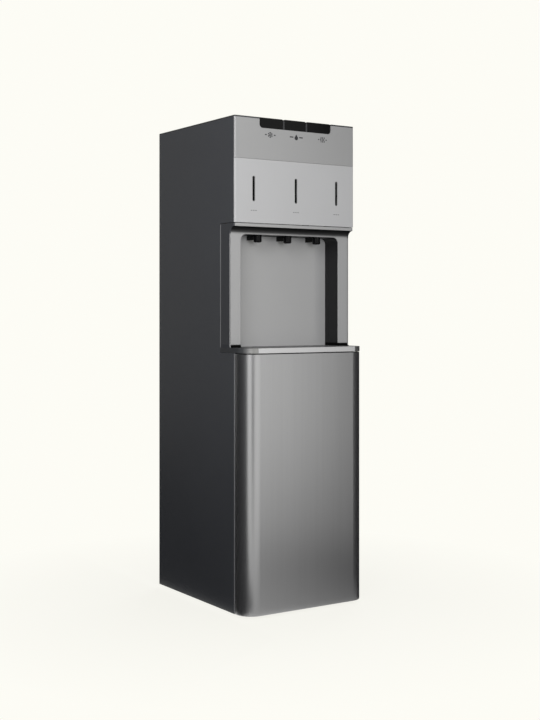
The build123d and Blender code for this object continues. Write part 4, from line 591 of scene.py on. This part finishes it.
def floor():
    """Pale floor that keeps a soft shadow near the object and runs into the background."""
    bpy.ops.mesh.primitive_plane_add(size=30.0)
    plane = bpy.context.object
    plane.name = "floor"
    material, tree, shader = new_material("floor")
    shader.inputs["Base Color"].default_value = (0.3, 0.3, 0.29, 1.0)
    shader.inputs["Roughness"].default_value = 0.9
    glow = add(tree, "ShaderNodeEmission")
    glow.inputs["Color"].default_value = (*PALE, 1.0)
    soft = add(tree, "ShaderNodeBsdfDiffuse")
    soft.inputs["Color"].default_value = (0.9, 0.9, 0.88, 1.0)
    glowing = spread(tree, from_centre(tree), 0.88, 1.0, 0.2, 0.8)
    pale = mixed(tree, soft.outputs[0], glow.outputs[0], glowing)
    ground = mixed(tree, shader.outputs[0], pale, seen(tree))
    tree.links.new(ground, tree.nodes["Material Output"].inputs["Surface"])
    plane.data.materials.append(material)


def black_cloth(name, share=1.0, reach=0.0, across=None):
    """Material of the flags; a scrim has a share of it, which fades out over a reach or in x."""
    material, tree, shader = new_material(name)
    shader.inputs["Base Color"].default_value = (0.02, 0.02, 0.02, 1.0)
    shader.inputs["Roughness"].default_value = 0.9
    shader.inputs["Specular IOR Level"].default_value = 0.0
    if reach:
        cover = spread(tree, from_centre(tree), share, 0.0, 0.2, reach)
        tree.links.new(cover, shader.inputs["Alpha"])
    if across:
        cover = spread(tree, axis_value(tree, "X", *across), 0.0, share, 0.0, 1.0)
        tree.links.new(cover, shader.inputs["Alpha"])
    return material


def flag(name, corners, cloth):
    """A flat flag outside the picture, seen by the object alone."""
    mesh = bpy.data.meshes.new(name)
    mesh.from_pydata(corners, [], [(0, 1, 2, 3)])
    mesh.materials.append(cloth)
    made = bpy.data.objects.new(name, mesh)
    made.visible_camera = False
    SCENE.collection.objects.link(made)
    return made


def upright(start, end, low, high):
    """Corners of an upright flag between two floor points."""
    return [(*start, low), (*end, low), (*end, high), (*start, high)]


def lying(x, y, z):
    """Corners of a mat over an x span and a y span."""
    return [(x[0], y[0], z), (x[1], y[0], z), (x[1], y[1], z), (x[0], y[1], z)]


def flags():
    """Flags and mats left, right and in front, as round a polished product in a studio."""
    cloth = black_cloth("black_cloth")
    for name, start, end in (("flag_left", (-1.35, -0.95), (-1.35, 3.0)),
                             ("flag_right", (0.98, -1.42), (1.9, 0.2)),
                             ("flag_strip", (-1.09, -1.97), (-0.53, -2.17)),
                             ("flag_rear_right", (1.9, 0.2), (1.9, 2.0))):
        flag(name, upright(start, end, 0.0, 2.2), cloth)

    left = [(-1.35, -0.98, 0.002), (-0.17, -0.33, 0.002), (-0.17, 3.0, 0.002), (-1.35, 3.0, 0.002)]
    scrim = black_cloth("scrim", share=0.4, reach=3.2)
    half = black_cloth("half", across=(0.3, 0.9))
    fading = black_cloth("fading", across=(-0.3, 0.32))
    for name, corners, cover in (
            ("mat_left", left, cloth),
            ("mat_right", lying((0.165, 1.9), (-0.2, 2.0), 0.003), cloth),
            ("mat_front", lying((-1.3, 2.6), (-3.0, -0.21), 0.004), scrim),
            ("mat_corner", lying((0.3, 1.9), (-1.6, -0.8), 0.005), half),
            ("mat_near", lying((-0.35, 1.9), (-0.8, -0.165), 0.006), fading)):
        flag(name, corners, cover).visible_shadow = False


def lamp(name, place_at, target, size, power, mirrored=True):
    """A soft box aimed at a point; mirrored says whether polished faces show it."""
    data = bpy.data.lights.new(name, "AREA")
    data.shape = "RECTANGLE"
    data.size, data.size_y = size
    data.energy = power
    light = bpy.data.objects.new(name, data)
    light.location = place_at
    aim = Vector(target) - Vector(place_at)
    light.rotation_euler = aim.to_track_quat("-Z", "Y").to_euler()
    light.visible_camera = False
    light.visible_glossy = mirrored
    SCENE.collection.objects.link(light)


def camera():
    """The photograph's camera, from a fit to the object's straight edges."""
    data = bpy.data.cameras.new("camera")
    data.lens = 60.309
    data.sensor_width = 36.0
    data.sensor_fit = "AUTO"
    data.shift_y = -0.0706
    eye = bpy.data.objects.new("camera", data)
    eye.location = (-1.4674, -2.2882, 0.6415)
    eye.rotation_euler = (math.radians(90), 0, math.radians(-33.153))
    SCENE.collection.objects.link(eye)
    SCENE.camera = eye


paint_nodes()
marks()
world()
floor()
flags()
camera()
lamp("key", (-1.1, -1.05, 1.35), (0, 0, 0.85), (0.7, 0.7), 9.5)
lamp("front", (-0.45, -1.75, 0.88), (0, -0.15, 0.8), (0.6, 0.6), 14.5, mirrored=False)
lamp("rear", (1.5, 1.3, 1.3), (0, 0.1, 0.6), (1.2, 1.2), 24, mirrored=False)
SCENE.view_settings.view_transform = "Standard"
